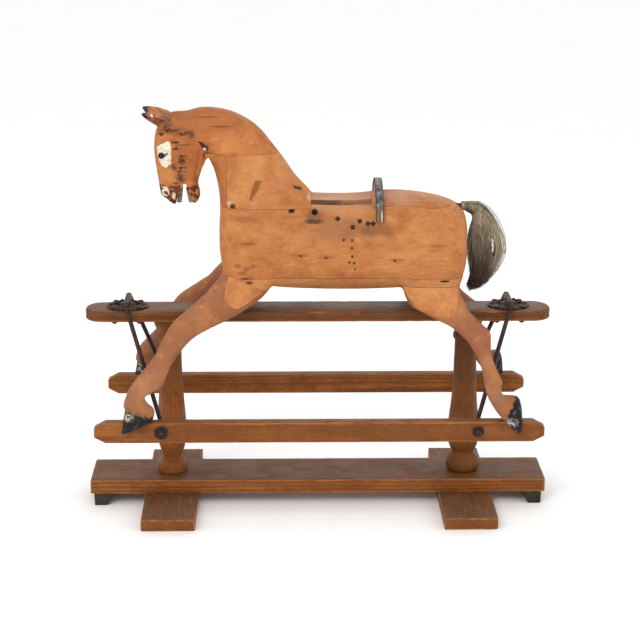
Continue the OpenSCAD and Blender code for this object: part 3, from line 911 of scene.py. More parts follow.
def strip_marks(sh):
    """Dark bruise where the foreleg joins the belly."""
    sh.blot(0.9, (62, 30, 16), (-187, -100, 652), (9, 60, 4.5), 0.8, 1.3, 130)  # bruise


def neck_marks(sh):
    cut_line = [(-170, 922), (-153, 921), (-163, 896), (-183, 868), (-187, 872), (-180, 898)]
    cut_mark = sh.patch(cut_line, 2, 5, 90)
    sh.stain(cut_mark * 0.8, (124, 66, 36))
    sh.blot(0.4, (178, 108, 74), (-112, -90, 905), (36, 80, 26), 1.2, 1.0, 50)  # rosy
    knot = sh.patch([(-72, 904), (-50, 897), (-46, 889), (-64, 895)], 2, 5, 160)
    sh.stain(knot, (62, 30, 16))
    sh.blot(0.7, (196, 174, 146), (-240, -80, 858), (8, 60, 6), 1.0, 1.0, 120)  # pale
    sh.blot(1.0, (62, 40, 24), (-231, -80, 852), (7, 60, 7), 0.9, 1.2, 120)  # corner
    sh.blot(0.6, (216, 176, 130), (-24, -60, 872), (10, 60, 8), 1.0, 0.6, 90)  # toe


BRIDLE_MARKS = [
    (-400, 1050, 19, 5), (-380, 1052, 12, 4), (-421, 1039, 8, 5), (-364, 1042, 13, 5),
    (-351, 1047, 9, 4), (-384, 1019, 14, 4), (-378, 1003, 14, 4), (-367, 983, 13, 4),
    (-367, 969, 10, 8), (-366, 951, 15, 4), (-370, 941, 14, 3.5), (-388, 952, 7, 8),
    (-371, 922, 12, 12), (-385, 906, 8, 3),
]


def head_marks(sh):
    x, _, z = sh.split(sh.place)
    ragged = sh.noise(sh.place, 70, 4, 0.6)
    wobble = (ragged - 0.5) * 0.022
    # Dark paint left on the muzzle, and worn off again in patches
    paint = sh.fall(z + wobble, 0.898, 0.903)
    lower = sh.fall(x, -0.362, -0.352)
    paint = paint * sh.math("MAXIMUM", lower, sh.rise(ragged, 0.46, 0.56))
    worn = sh.rise(sh.noise(sh.place, 120, 4, 0.65), 0.36, 0.5, 0.3, 1.0)
    sh.stain(paint * worn, (74, 34, 20))
    # White ground round the eye, on the nostril rim and in the corner of the mouth
    white = [(-432, 1006), (-404, 1021), (-394, 1021), (-394, 962), (-407, 950), (-421, 954), (-432, 981)]
    gesso = sh.patch(white, 1.5, 8, 90)
    sh.stain(gesso, (224, 213, 192))
    scraped = sh.rise(sh.noise(sh.place * (0.5, 1, 1.6), 130, 4, 0.6), 0.56, 0.66)
    sh.stain(gesso * scraped * 0.7, (180, 126, 84))
    crease = [(-431, 987), (-408, 990), (-401, 995), (-404, 984), (-414, 978), (-428, 979)]
    lid = sh.patch(crease, 1.5, 4, 140)
    sh.stain(lid * 0.85, (50, 30, 20))
    rim = sh.blob((-413, 30, 880), (10.5, 30, 10.5), 0.3, 0.7, 120, both=True)
    hole = sh.blob((-411, 30, 879), (6.5, 30, 6), 0.5, 0.6, 120, both=True)
    inside = sh.blob((-409, 30, 876), (4, 30, 3), 0.6, 0.6, 120, both=True)
    sh.stain(rim, (226, 208, 180))
    sh.stain(hole, (168, 102, 60))
    sh.stain(inside, (74, 38, 24))
    arc = sh.blob((-413, 30, 893), (9, 30, 2.4), 0.6, 0.8, 120, both=True)
    lip = sh.blob((-390, 26, 872), (5, 30, 9), 0.6, 1.3, 150, both=True)
    corner = sh.blob((-361, 26, 896), (8, 30, 6), 0.6, 1.2, 150, both=True)
    chips = sh.any_of([arc, lip, corner])
    sh.stain(chips * 0.85, (222, 196, 164))
    # Holes, torn leather and rust where the bridle was nailed on
    sh.blot(0.35, (134, 66, 30), (-374, -44, 950), (22, 40, 74), 1.2, 1.0, 60)  # halo
    sh.blot(0.5, (110, 60, 40), (-390, -44, 1052), (46, 40, 14), 1.2, 1.0, 60)  # brow
    masks = [sh.blob((px, -44, pz), (rx, 40, rz), 1.0, 1.5, 190) for px, pz, rx, rz in BRIDLE_MARKS]
    torn = sh.any_of(masks)
    sh.stain(torn * 0.4, (122, 58, 32))
    shreds = sh.noise(sh.place * (0.5, 1, 1.3), 240, 3, 0.65)
    dark = torn * sh.rise(shreds, 0.44, 0.54)
    sh.stain(dark * 0.95, (40, 20, 14))
    bare = torn * sh.rise(shreds, 0.4, 0.32)
    sh.stain(bare * 0.5, (206, 164, 126))
    sh.blot(0.85, (72, 58, 46), (-339, -44, 1041), (9, 40, 10), 0.9, 1.2, 110)  # knot
    jaw = sh.patch([(-322, 1024), (-309, 1019), (-296, 1002), (-300, 994), (-312, 1004)], 3, 12, 110)
    sh.stain(jaw * 0.92, (40, 28, 22))
    sh.blot(1.0, (222, 212, 196), (-305, -46, 1000), (4, 40, 4), 0.5, 0.9, 160)  # flake
    sh.blot(0.5, (104, 74, 54), (-396, 0, 1094), (40, 60, 20), 1.1, 1.0, 60)  # poll
    crack = sh.blob((-366, -44, 1012), (22, 40, 1.6), 0.7, 0.9, 70)
    cracks = sh.any_of([crack, sh.blob((-262, -44, 1062), (28, 40, 1.6), 0.9, 1.2, 50)])
    sh.stain(cracks * 0.8, (66, 34, 18))
    # Painted shade: dark blot in the throat notch under the jaw, on both sides
    sh.blot(0.75, (62, 34, 20), (-298, 0, 983), (14, 60, 11), 1.0, 0.7, 80)  # notch
    crest = sh.rise(z, 1.02, 1.09) * sh.rise(x, -0.4, -0.36)
    sh.stain(crest * 0.5, (134, 76, 40))
    sh.blot(0.55, (110, 56, 30), (-302, -44, 1086), (38, 50, 2.2), 1.0, 1.6, 30)  # wave


def leg_marks(hoof_x, coronet_z, lean, bare, sheen_grey, moss_paint):
    """Painted hoof beyond a slanting coronet, with a stained band above it and a painted sheen on the
    paint.
    """
    tilt = math.hypot(1, lean)

    def marks(sh):
        x, _, z = sh.split(sh.place)
        slope = (x - hoof_x * MM) * lean
        level = z - coronet_z * MM - slope
        level = level / tilt
        ragged = (sh.noise(sh.place, 90, 4, 0.6) - 0.5) * 0.02
        level = level + ragged
        grey = sh.fall(z, 0.36, 0.5)
        sh.stain(grey * 0.35, (136, 98, 74))
        band = sh.fall(level, 0.006, 0.034)
        sh.stain(band * 0.6, (152, 90, 46))
        moss = sh.fall(level, 0.004, 0.016) * sh.rise(sh.noise(sh.place, 60, 3), 0.45, 0.6)
        sh.stain(moss * 0.7, moss_paint)
        paint = sh.fall(level, -0.003, 0.002)
        sh.stain(paint, (24, 20, 19))
        # Painted sheen: lighter grey patches painted over the black hoof paint as its highlight
        painted_sheen = sh.rise(sh.noise(sh.place * (1.2, 1, 0.5), 85, 4, 0.6), 0.5, 0.68)
        sh.stain(paint * painted_sheen * 0.6, sheen_grey)
        torn = sh.rise(sh.noise(sh.place, 150, 4, 0.65), 0.48, 0.56)
        worn = torn * sh.blob(bare, (17, 60, 13), 1.0, 0.8, 60, both=True)
        sh.stain(worn * 0.85, (198, 192, 180))

    return marks


RAIL_DUST = ((84, 62, 46), (118, 92, 72))
FLOOR_DUST = ((72, 48, 31), (106, 76, 52))


def stand_wood(name, seed, centre=None, half=None, worn=0.4, along=(1, 0, 0), dust=0.8, tone=1.0,
               dusty=FLOOR_DUST, shade=0.0):
    """Dark stained softwood, worn back to orange on the edges and dusty on top; shade paints shade on the
    upper part.
    """
    sh = Shader(name)
    pith = (0, 140, 240) if along[0] else (60, 0, 300)
    late, fibre, stretched = grain(sh, along, pith, 7.0, seed)
    pale, dark, deep = (tuple(v * tone for v in c) for c in ((152, 90, 36), (112, 60, 20), (74, 38, 14)))
    sh.colour = sh.mix(late * 0.75, pale, dark)
    sh.stain(sh.rise(fibre, 0.35, 0.7, 0.0, 0.45), deep)
    blotch = sh.noise(sh.place + (seed, 0, seed), 16, 5, 0.62)
    sh.stain(sh.rise(blotch, 0.4, 0.68, 0.0, 0.7), dark)
    streak = sh.noise(stretched, 46, 4, 0.65)
    sh.stain(sh.rise(streak, 0.55, 0.75, 0.0, 0.5), (176 * tone, 108 * tone, 48 * tone))
    scuff = sh.noise(stretched, 150, 3, 0.6)
    if centre is not None:
        away = abs(sh.place - tuple(centre))
        gaps = sh.split(tuple(half) - away)
        lowest = sh.math("MINIMUM", sh.math("MINIMUM", gaps[0], gaps[1]), gaps[2])
        highest = sh.math("MAXIMUM", sh.math("MAXIMUM", gaps[0], gaps[1]), gaps[2])
        total = gaps[0] + gaps[1] + gaps[2]
        middle = total - lowest - highest
        ragged = (scuff - 0.5) * 0.012
        ragged = ragged + (streak - 0.5) * 0.016
        edge = sh.fall(middle + ragged, 0.0008, 0.0045)
        sh.stain(edge * worn, (198, 128, 66))
    up = sh.rise(sh.split(sh.normal)[2], 0.6, 0.95)
    grime = sh.rise(sh.noise(stretched, 20, 4, 0.6), 0.25, 0.62, 0.5, 1.0)
    # Painted shade: darker from 250 mm up, fully at 420 mm, on the upper part under the rail
    if shade:
        high = sh.rise(sh.axis(2), 0.25, 0.42, 0.0, shade)
        sh.stain(high, (48, 23, 8))
    top = sh.mix(sh.rise(scuff, 0.3, 0.7), *dusty)
    sh.stain(up * grime * dust, top)
    pits = sh.rise(sh.noise(sh.place, 230, 2, 0.5), 0.66, 0.74, 0.0, 0.8)
    sh.stain(pits, (34, 18, 10))
    height = fibre + scuff * 0.6
    height = height - pits
    return sh.finish(sh.rise(blotch, 0.3, 0.8, 0.45, 0.65), height, 0.0009, specular=0.22)


def metal(name, dark, light, rust, rusty, seed=0.0):
    sh = Shader(name, metallic=0.6)
    place = sh.place + (seed, seed, 0)
    cloud = sh.noise(place, 45, 5, 0.65)
    fine = sh.noise(place, 260, 3, 0.6)
    sh.colour = sh.mix(sh.rise(cloud, 0.3, 0.7), dark, light)
    sh.stain(sh.rise(sh.noise(place, 90, 5, 0.7), 0.46, 0.66, 0.0, rusty), rust)
    height = cloud + fine * 0.5
    return sh.finish(sh.rise(fine, 0.3, 0.7, 0.42, 0.68), height, 0.0008, specular=0.25)


def paint_coat(name, main, other, scale, rough=0.55):
    """Two-tone worn surface used for paint, teeth and the tail plug."""
    sh = Shader(name)
    cloud = sh.noise(sh.place, scale, 5, 0.62)
    fine = sh.noise(sh.place, scale * 5, 3, 0.6)
    sh.colour = sh.mix(sh.rise(cloud, 0.36, 0.66), main, other)
    sh.stain(sh.rise(fine, 0.58, 0.72, 0.0, 0.4), (44, 30, 24))
    return sh.finish(sh.rise(fine, 0.2, 0.8, rough - 0.08, rough + 0.1), fine, 0.0006, specular=0.25)


def old_leather(name):
    """Blue-grey strap with pale scuffs, brown where the wood shows low on the near side."""
    sh = Shader(name)
    cloud = sh.noise(sh.place, 44, 5, 0.66)
    sh.colour = sh.mix(sh.rise(cloud, 0.38, 0.6), (52, 50, 54), (104, 104, 106))
    pale = sh.rise(sh.noise(sh.place, 90, 5, 0.7), 0.55, 0.66)
    sh.stain(pale * 0.55, (176, 172, 164))
    low = sh.fall(sh.axis(2), 0.846, 0.868)
    sh.stain(low * 0.8, (112, 80, 56))
    sh.blot(1.0, (222, 196, 160), (165, -112, 832), (1.4, 30, 15), 0.4, 0.8, 120)  # slit
    edge = sh.rise(abs(sh.axis(0) - 0.16), 0.0076, 0.0096)
    sh.stain(edge * 0.8, (48, 24, 14))
    fine = sh.noise(sh.place, 220, 3, 0.6)
    return sh.finish(sh.rise(fine, 0.2, 0.8, 0.4, 0.6), cloud, 0.0014, specular=0.3)


def glass_eye(name):
    sh = Shader(name)
    ring_noise = sh.noise(sh.place, 240, 2)
    pupil = sh.blob((EYE[0] - 5, 45, EYE[1] + 1), (5, 12, 5), 0.3, both=True)
    sh.colour = sh.mix(ring_noise, (30, 14, 8), (14, 8, 6))
    sh.stain(pupil, (6, 4, 4))
    return sh.finish(sh.rise(ring_noise, 0.0, 1.0, 0.16, 0.24), None, specular=0.3)


def hair(name):
    sh = Shader(name)
    z = sh.axis(2)
    strand = sh.noise(sh.place * (1.0, 1.0, 0.12), 520, 2, 0.6)
    sh.colour = sh.mix(sh.rise(z, 0.62, 0.84), (84, 64, 50), (186, 168, 140))
    sh.stain(sh.rise(strand, 0.3, 0.7, 0.0, 0.75), (62, 48, 38))
    pale = sh.noise(sh.place * (1.0, 1.0, 0.1), 170, 2, 0.6)
    pale = sh.rise(pale, 0.5, 0.7) * sh.rise(z, 0.62, 0.8, 0.25, 0.9)
    sh.stain(pale, (208, 192, 166))
    outer = sh.rise(sh.axis(0), 0.462, 0.49) * 0.6
    sh.stain(outer, (196, 178, 150))
    sh.blot(0.85, (58, 32, 22), (402, 0, 812), (17, 40, 26), 1.0, 1.2, 70)  # root
    return sh.finish(sh.rise(strand, 0.0, 1.0, 0.5, 0.65), strand, 0.0004, specular=0.2)


# ---------------------------------------------------------------------------
# Stand, irons and rails
# ---------------------------------------------------------------------------

POST_X, PIVOT_X, PIVOT_Z = 410, 525, 573
LOW_X, LOW_Z = 425, 266
RAIL_TOP = 554


def show(obj, node, body, slot, material, *more_nodes):
    """Puts a finished piece on its body, in place of its CAD nodes."""
    obj.name = node + "_look"
    obj.data.materials.clear()
    obj.data.materials.append(material)
    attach(obj, body)
    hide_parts(node, *more_nodes)
    return obj


def grid_lines(low, high, step, soft):
    """Even steps, with extra lines where the edge is rounded."""
    inner = np.linspace(low + soft, high - soft, max(2, int((high - low - 2 * soft) / step) + 1))
    return [low, low + 0.35 * soft, *inner, high - 0.35 * soft, high]


def plank(name, low, high, step=12, soft=3.0, wear=1.0, seed=0, extra=()):
    """Board with eased, dented edges; sizes in millimetres. extra holds further grid lines along X."""
    lines = [grid_lines(a, b, step, soft) for a, b in zip(low, high)]
    lines[0] = sorted(set(lines[0]) | set(extra))
    counts = [len(v) for v in lines]
    index, verts, faces = {}, [], []

    def vert(i, j, k):
        key = (i, j, k)
        if key not in index:
            index[key] = len(verts)
            verts.append((lines[0][i], lines[1][j], lines[2][k]))
        return index[key]

    for axis in range(3):
        a, b = [v for v in range(3) if v != axis]
        for end in (0, counts[axis] - 1):
            for i in range(counts[a] - 1):
                for j in range(counts[b] - 1):
                    corner = []
                    for di, dj in ((0, 0), (1, 0), (1, 1), (0, 1)):
                        key = [0, 0, 0]
                        key[axis], key[a], key[b] = end, i + di, j + dj
                        corner.append(vert(*key))
                    faces.append(corner)
    co = np.array(verts, float)
    low, high = np.array(low, float), np.array(high, float)
    inner = np.clip(co, low + soft, high - soft)
    away = co - inner
    length = np.maximum(np.linalg.norm(away, axis=1), 1e-9)
    direction = away / length[:, None]
    co = inner + direction * np.minimum(length, soft)[:, None]
    on_edge = (np.abs(away) > 1e-6).sum(1) >= 2
    for i, p in enumerate(co):
        spot = Vector(p) * 0.011 + Vector((seed, seed, seed))
        dent = 0.25 * noise.noise(spot * 2.2)
        if on_edge[i]:
            chip = max(0.0, noise.noise(spot * 4.5) - 0.12)
            dent += 3.4 * chip + 0.5 * noise.noise(spot * 13)
        co[i] = p - direction[i] * max(dent, -0.15) * wear
    return fix_normals(mesh_object(name, co * MM, faces))


def board(node, slot, seed, material, soft=3.0, wear=1.0, step=12, body="stand"):
    low, high = (np.array(v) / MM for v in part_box(node))
    obj = plank(node, low, high, step, soft, wear, seed)
    return show(crisp(obj, 50), node, body, slot, material)


def board_material(name, node, seed, **looks):
    low, high = (np.array(v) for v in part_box(node))
    return stand_wood(name, seed, (low + high) / 2, (high - low) / 2, **looks)


def lathe(name, profile, centre, sides=64, axis="Z"):
    """Turned solid from (radius, height) points in millimetres."""
    rings = []
    for r, h in profile:
        t = np.arange(sides) * 2 * math.pi / sides
        if axis == "Z":
            rings.append(np.stack([r * np.cos(t), r * np.sin(t), np.full(sides, h)], 1))
        else:
            rings.append(np.stack([r * np.cos(t), np.full(sides, h), r * np.sin(t)], 1))
    return skin(name, [(r + np.array(centre)) * MM for r in rings])


FRONT_BASE = [
    [(38, 74), (40.3, 77), (41, 83), (41, 92), (40.5, 98), (37, 106), (31, 111), (26.2, 114)],
    [(25.5, 115), (25.3, 117), (25.6, 119)],
    [(28, 125), (32, 137), (36, 150), (38.5, 170), (39.6, 195), (39.6, 221), (38.6, 245)],
]
REAR_BASE = [
    [(40, 74), (44.5, 79), (47, 88), (47, 97), (44, 108), (38, 118), (33, 125), (31.8, 128)],
    [(31.5, 129), (31.5, 131)],
    [(34, 136), (38, 144), (41, 155), (42.3, 175), (42.6, 200), (41.7, 228), (39.5, 248)],
]
POST_STEM = [(36.8, 268), (34.8, 300), (32.4, 348), (31.2, 398), (30.4, 440), (30, 457)]
POST_TOP = [
    [(31, 459), (34.6, 463), (36, 469), (35, 475), (33, 479)],
    [(32.6, 481), (32.6, 485)],
    [(34, 487), (38.5, 495), (43, 507), (44, 520), (44, 524)],
]


def turned_post(node, side):
    *low, urn = FRONT_BASE if side < 0 else REAR_BASE
    profile = [(0.5, 74)]
    for run in low + [urn + POST_STEM] + POST_TOP:
        profile += [tuple(p) for p in smooth_rows(run, 3)]
    profile.append((0.5, 524))
    obj = crisp(lathe(node, profile, (side * POST_X, 0, 0)), 50)
    co = co_of(obj)
    wobble = np.array([noise.noise(Vector(p) * 14 + Vector((side * 3, 0, 0))) for p in co])
    shift = (co - np.array([side * POST_X * MM, 0, 0])) * np.array([1, 1, 0])
    set_co(obj, co + shift * (wobble * 0.018)[:, None])
    return obj


def tapered_batten(node, side, seed):
    """Batten that narrows towards the floor, mostly on its inner side."""
    low, high = (np.array(v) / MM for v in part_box(node))
    obj = plank(node, low, high, 12, 2.5, 0.9, seed)
    co = co_of(obj) / MM
    down = (high[2] - co[:, 2]) / (high[2] - low[2])
    outer, inner = (high[0], low[0]) if side > 0 else (low[0], high[0])
    share = (co[:, 0] - inner) / (outer - inner)
    co[:, 0] -= side * down * (2 * share - 19 * (1 - share))
    set_co(obj, co * MM)
    return crisp(obj, 50)


def moulded_rail(node):
    """Top rail: round ends, an eased upper edge and a fine bead below it."""
    low, high = (np.array(v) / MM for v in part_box(node))
    length, width = high[0] - low[0], high[1] - low[1]
    radius = width / 2
    profile = [
        (1.5, 0), (0, 1.6), (0, 9), (1.4, 10.5), (1.4, 12), (0, 13.5), (0, 22), (0.9, 26), (3, 28.6),
        (6, 30),
    ]
    rings = []
    for inset, up in profile:
        r = radius - inset
        reach = length / 2 - radius
        points = []
        for s in (1, -1):
            for a in np.linspace(-90, 90, 25):
                t = math.radians(a + (0 if s > 0 else 180))
                points.append((s * reach + r * math.cos(t), r * math.sin(t), low[2] + up))
            if s > 0:
                for x in np.linspace(reach, -reach, 74)[1:-1]:
                    points.append((x, r, low[2] + up))
            else:
                for x in np.linspace(-reach, reach, 74)[1:-1]:
                    points.append((x, -r, low[2] + up))
        rings.append(np.array(points))
    obj = skin(node, [r * MM for r in rings])
    co, no = co_of(obj), normals_of(obj)
    for i, p in enumerate(co):
        dent = max(0.0, noise.noise(Vector(p) * 38) - 0.16) * 2.6 + 0.3 * noise.noise(Vector(p) * 9)
        co[i] = p - no[i] * max(dent, 0) * MM
    set_co(obj, co)
    return crisp(obj, 50)


def hoof_rail(node, side):
    low, high = (np.array(v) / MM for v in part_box(node))
    point_l, point_h = 30, 24
    obj = plank(node, low, high, 12, 2.6, 0.8, 5 + side, extra=(low[0] + point_l, high[0] - point_l))
    co = co_of(obj) / MM
    inward = np.maximum(low[0] + point_l - co[:, 0], co[:, 0] - (high[0] - point_l))
    share = 1 - np.clip(inward / point_l, 0, 1) * (1 - point_h / (high[2] - low[2]))
    middle = (low[2] + high[2]) / 2
    co[:, 2] = middle + (co[:, 2] - middle) * share
    set_co(obj, co * MM)
    slot_r, slot_run = 7.6, 9.6
    y0, y1 = sorted((side * 180, side * 240))
    carved(obj, lathe("bore", [(6.05, y0), (6.05, y1)], (-LOW_X, 0, LOW_Z), 40, "Y"))
    turn = [math.radians(a) for a in range(90, 271, 15)]
    outline = [(LOW_X + slot_r * math.cos(t), LOW_Z + slot_r * math.sin(t)) for t in turn]
    turn = [math.radians(a) for a in range(-90, 91, 15)]
    outline += [(LOW_X + slot_run + slot_r * math.cos(t), LOW_Z + slot_r * math.sin(t)) for t in turn]
    return crisp(carved(obj, prism("slot", outline, y0, y1)), 50)


def rounded_path(corners, radius, steps=7):
    """Polyline in millimetres with its corners turned into arcs."""
    corners = [Vector(c) for c in corners]
    out = [corners[0]]
    for a, b, c in zip(corners[:-2], corners[1:-1], corners[2:]):
        back, on = (a - b).normalized(), (c - b).normalized()
        half = back.angle(on) / 2
        reach = radius / math.tan(half)
        start, end = b + back * reach, b + on * reach
        for i in range(steps + 1):
            t = i / steps
            out.append(start * (1 - t) ** 2 + b * 2 * t * (1 - t) + end * t * t)
    return out + [corners[-1]]


def rod(name, points, radius, sides=20, rough=0.0):
    """Round bar along points in millimetres."""
    rings = []
    side = None
    for i, p in enumerate(points):
        ahead = points[min(i + 1, len(points) - 1)] - points[max(i - 1, 0)]
        ahead.normalize()
        if side is None:
            side = ahead.orthogonal().normalized()
        side = (side - ahead * side.dot(ahead)).normalized()
        other = ahead.cross(side)
        row = []
        for j in range(sides):
            t = 2 * math.pi * j / sides
            r = radius * (1 + rough * noise.noise(p * 0.03 + Vector((j * 0.2, 0, 0))))
            row.append(p + side * (r * math.cos(t)) + other * (r * math.sin(t)))
        rings.append(np.array(row) * MM)
    return crisp(skin(name, rings), 50)


def swing_iron(side):
    pivot, ankle = (side * PIVOT_X, -60, PIVOT_Z), (side * LOW_X, -176, LOW_Z)
    end = (side * LOW_X, -234, LOW_Z)
    half = [end, ankle, pivot]
    corners = half + [(x, -y, z) for x, y, z in reversed(half)]
    path = rounded_path(corners, 11)
    full = []
    for a, b in zip(path[:-1], path[1:]):
        n = max(1, int((b - a).length / 22))
        full += [a.lerp(b, i / n) for i in range(n)]
    return rod("iron", full + [path[-1]], 6, rough=0.02)


def pair(make, name):
    """Near piece and its mirror image in one object."""
    near = make(-1)
    far = make(1)
    return crisp(join([near, far], name), 45)


def washers(side, radius):
    chamfer = radius - 0.8
    ring_profile = [
        (6.1, 222.5), (chamfer, 222.5), (radius, 223.2), (radius, 224.2), (chamfer, 224.9), (6.1, 224.9),
    ]

    def make(s):
        rings = [(r, s * h) for r, h in ring_profile]
        obj = lathe("washer", rings + rings[:1], (side * LOW_X, 0, LOW_Z), 48, "Y")
        bm = bmesh.new()
        bm.from_mesh(obj.data)
        caps = [f for f in bm.faces if len(f.verts) > 4]
        bmesh.ops.delete(bm, geom=caps, context="FACES_ONLY")
        bmesh.ops.remove_doubles(bm, verts=bm.verts, dist=1e-6)
        bmesh.ops.recalc_face_normals(bm, faces=bm.faces)
        bm.to_mesh(obj.data)
        bm.free()
        return obj

    return pair(make, "washers")


def end_nuts(side):
    profile = [
        (0.3, 225.1), (10.2, 225.1), (11, 226), (11, 231.6), (10.2, 233), (9.6, 235.8), (7.8, 239.4),
        (4.6, 242.4), (1.4, 243.6), (0.2, 243.8),
    ]

    def make(s):
        return lathe("nut", [(r, s * h) for r, h in profile], (side * LOW_X, 0, LOW_Z), 40, "Y")

    return pair(make, "nuts")


def pierced_plate(side):
    """Oval cast plate: rim, two bands of slots between bars, and a solid middle."""
    radial = [0.0, 0.16, 0.34, 0.50, 0.56, 0.62, 0.66, 0.74, 0.80, 0.88, 0.90, 0.95, 0.985, 1.0]
    count = 96
    rx, ry = 58.0, 50.5
    verts = []
    for r in radial:
        for j in range(count):
            t = 2 * math.pi * j / count
            lift = 5.0 - 1.4 * max(0.0, (r - 0.95) / 0.05) ** 2 + 0.8 * (0.60 < r < 0.70)
            lift += 7.5 * (1 - r) ** 1.3
            verts.append((side * PIVOT_X + rx * r * math.cos(t), ry * r * math.sin(t), RAIL_TOP + lift))
    top = []
    for i in range(len(radial) - 1):
        middle = (radial[i] + radial[i + 1]) / 2
        for j in range(count):
            a = (j + 0.5) / count * 24 % 1
            inner_slot = 0.34 < middle < 0.62 and 0.2 < a < 0.8 and (j * 24 // count) % 2 == 0
            outer_slot = 0.74 < middle < 0.88 and 0.16 < a < 0.84
            if inner_slot or outer_slot:
                continue
            k = (j + 1) % count
            top.append((i * count + j, (i + 1) * count + j, (i + 1) * count + k, i * count + k))
    obj = mesh_object("plate", np.array(verts) * MM, top)
    bm = bmesh.new()
    bm.from_mesh(obj.data)
    bmesh.ops.remove_doubles(bm, verts=bm.verts, dist=1e-6)
    loose = [v for v in bm.verts if not v.link_faces]
    bmesh.ops.delete(bm, geom=loose, context="VERTS")
    bmesh.ops.recalc_face_normals(bm, faces=bm.faces)
    if sum(f.normal.z for f in bm.faces) < 0:
        bmesh.ops.reverse_faces(bm, faces=bm.faces)
    bm.to_mesh(obj.data)
    bm.free()
    return modify(obj, "SOLIDIFY", thickness=4.8 * MM, offset=-1.0)


def bracket(side):
    """Plate with a tent-shaped bearing across it and ribs down to the rim."""
    plate = pierced_plate(side)
    x = side * PIVOT_X
    rows = []
    for y in np.linspace(-50, 50, 41):
        drop = 1.6 * abs(math.cos(y / 50 * math.pi / 2 * 3)) * (abs(y) < 44)
        flare = 6 * span(np.array(abs(y)), 24, 2) + 1
        top = PIVOT_Z + 7.4 - drop * 0.7
        points = [(-11 - flare, RAIL_TOP + 4), (-9.5 - flare * 0.5, RAIL_TOP + 7)]
        points += [(-8.2, PIVOT_Z - 6), (-8, PIVOT_Z + 1), (-6.6, PIVOT_Z + 4.6)]
        points += [(-3.8, top - 1.2), (0, top)]
        points += [(-a, b) for a, b in reversed(points[:-1])]
        rows.append(np.array([(x + a, y, b) for a, b in points]) * MM)
    hub = skin("hub", rows)
    carved(hub, lathe("bore", [(6.08, -70), (6.08, 70)], (x, 0, PIVOT_Z), 40, "Y"))
    ribs = []
    for a in (0, 180):
        t = math.radians(a)
        foot = Vector((x + 50 * math.cos(t), 0, RAIL_TOP + 5))
        crown = Vector((x + 11 * math.cos(t), 0, PIVOT_Z + 1))
        middle = foot.lerp(crown, 0.45) - Vector((0, 0, 5))
        steps = np.linspace(0, 1, 9)
        path = [foot * (1 - s) ** 2 + middle * 2 * s * (1 - s) + crown * s * s for s in steps]
        ribs.append(rod("rib", path, 3.2, 10))
    return crisp(join([plate, hub, *ribs], "bracket"), 40)


def at_bolts():
    return [(sx * PIVOT_X + dx, dy) for sx in (-1, 1) for dx in (-34, 34) for dy in (-33, 33)]


def bracket_bolts():
    parts = []
    for x, y in at_bolts():
        profile = [
            (0.3, 514.2), (3.2, 514.2), (4, 515), (4, 559.2), (7.4, 559.2), (7.6, 560.6),
            (6.6, 562.2), (3.6, 563), (0.3, 563.2),
        ]
        parts.append(lathe("bolt", profile, (x, y, 0), 24))
    return crisp(join(parts, "bolts"), 40)


def bracket_nuts():
    parts = []
    for i, (x, y) in enumerate(at_bolts()):
        profile = [(4.05, 517), (7.6, 517), (8, 517.8), (8, 523.2), (7.6, 523.9), (4.05, 523.9)]
        nut = lathe("nut", profile, (x, y, 0), 6)
        turn = Matrix.Translation(Vector((x, y, 0)) * MM) @ Matrix.Rotation(0.3 * i, 4, "Z")
        nut.data.transform(turn @ Matrix.Translation(Vector((-x, -y, 0)) * MM))
        parts.append(carved(nut, lathe("hole", [(4.02, 500), (4.02, 540)], (x, y, 0), 24)))
    return crisp(join(parts, "nuts"), 30)


# ---------------------------------------------------------------------------
# Ears, eyes, harness marks, cantle and tail
# ---------------------------------------------------------------------------


def carved_ear():
    """Leaf-shaped ear, scooped out on its forward and outer face."""
    base, tip = Vector((-377, -25, 1052)), Vector((-471, -28, 1092))
    ahead = (tip - base).normalized()
    outward = (Vector((-0.2, -0.75, -0.62)) - ahead * Vector((-0.2, -0.75, -0.62)).dot(ahead)).normalized()
    across = ahead.cross(outward)
    # share of the length, half width, half depth
    leaf = [
        (0.0, 9, 8), (0.18, 17, 14), (0.36, 21, 17), (0.54, 19.5, 15), (0.7, 16, 12),
        (0.85, 10.5, 8.4), (0.94, 6, 5.4), (1.0, 1.8, 2),
    ]
    outer, inner = [], []
    for share, wide, deep in smooth_rows(leaf, 5):
        centre = base.lerp(tip, share)
        bend = outward * (-4 * math.sin(share * math.pi))
        scoop = (inner, wide - 3.2, deep + 1.0, 4.6 + share * 2)
        for rings, w, d, shift in ((outer, wide, deep, 0.0), scoop):
            if rings is inner and (share < 0.34 or share > 0.94):
                continue
            row = []
            for j in range(36):
                t = 2 * math.pi * j / 36
                p = centre + bend + outward * shift
                row.append(p + across * (max(w, 0.5) * math.cos(t)) + outward * (d * math.sin(t)))
            rings.append(np.array(row) * MM)
    return crisp(carved(skin("ear", outer), skin("hollow", inner)), 50)


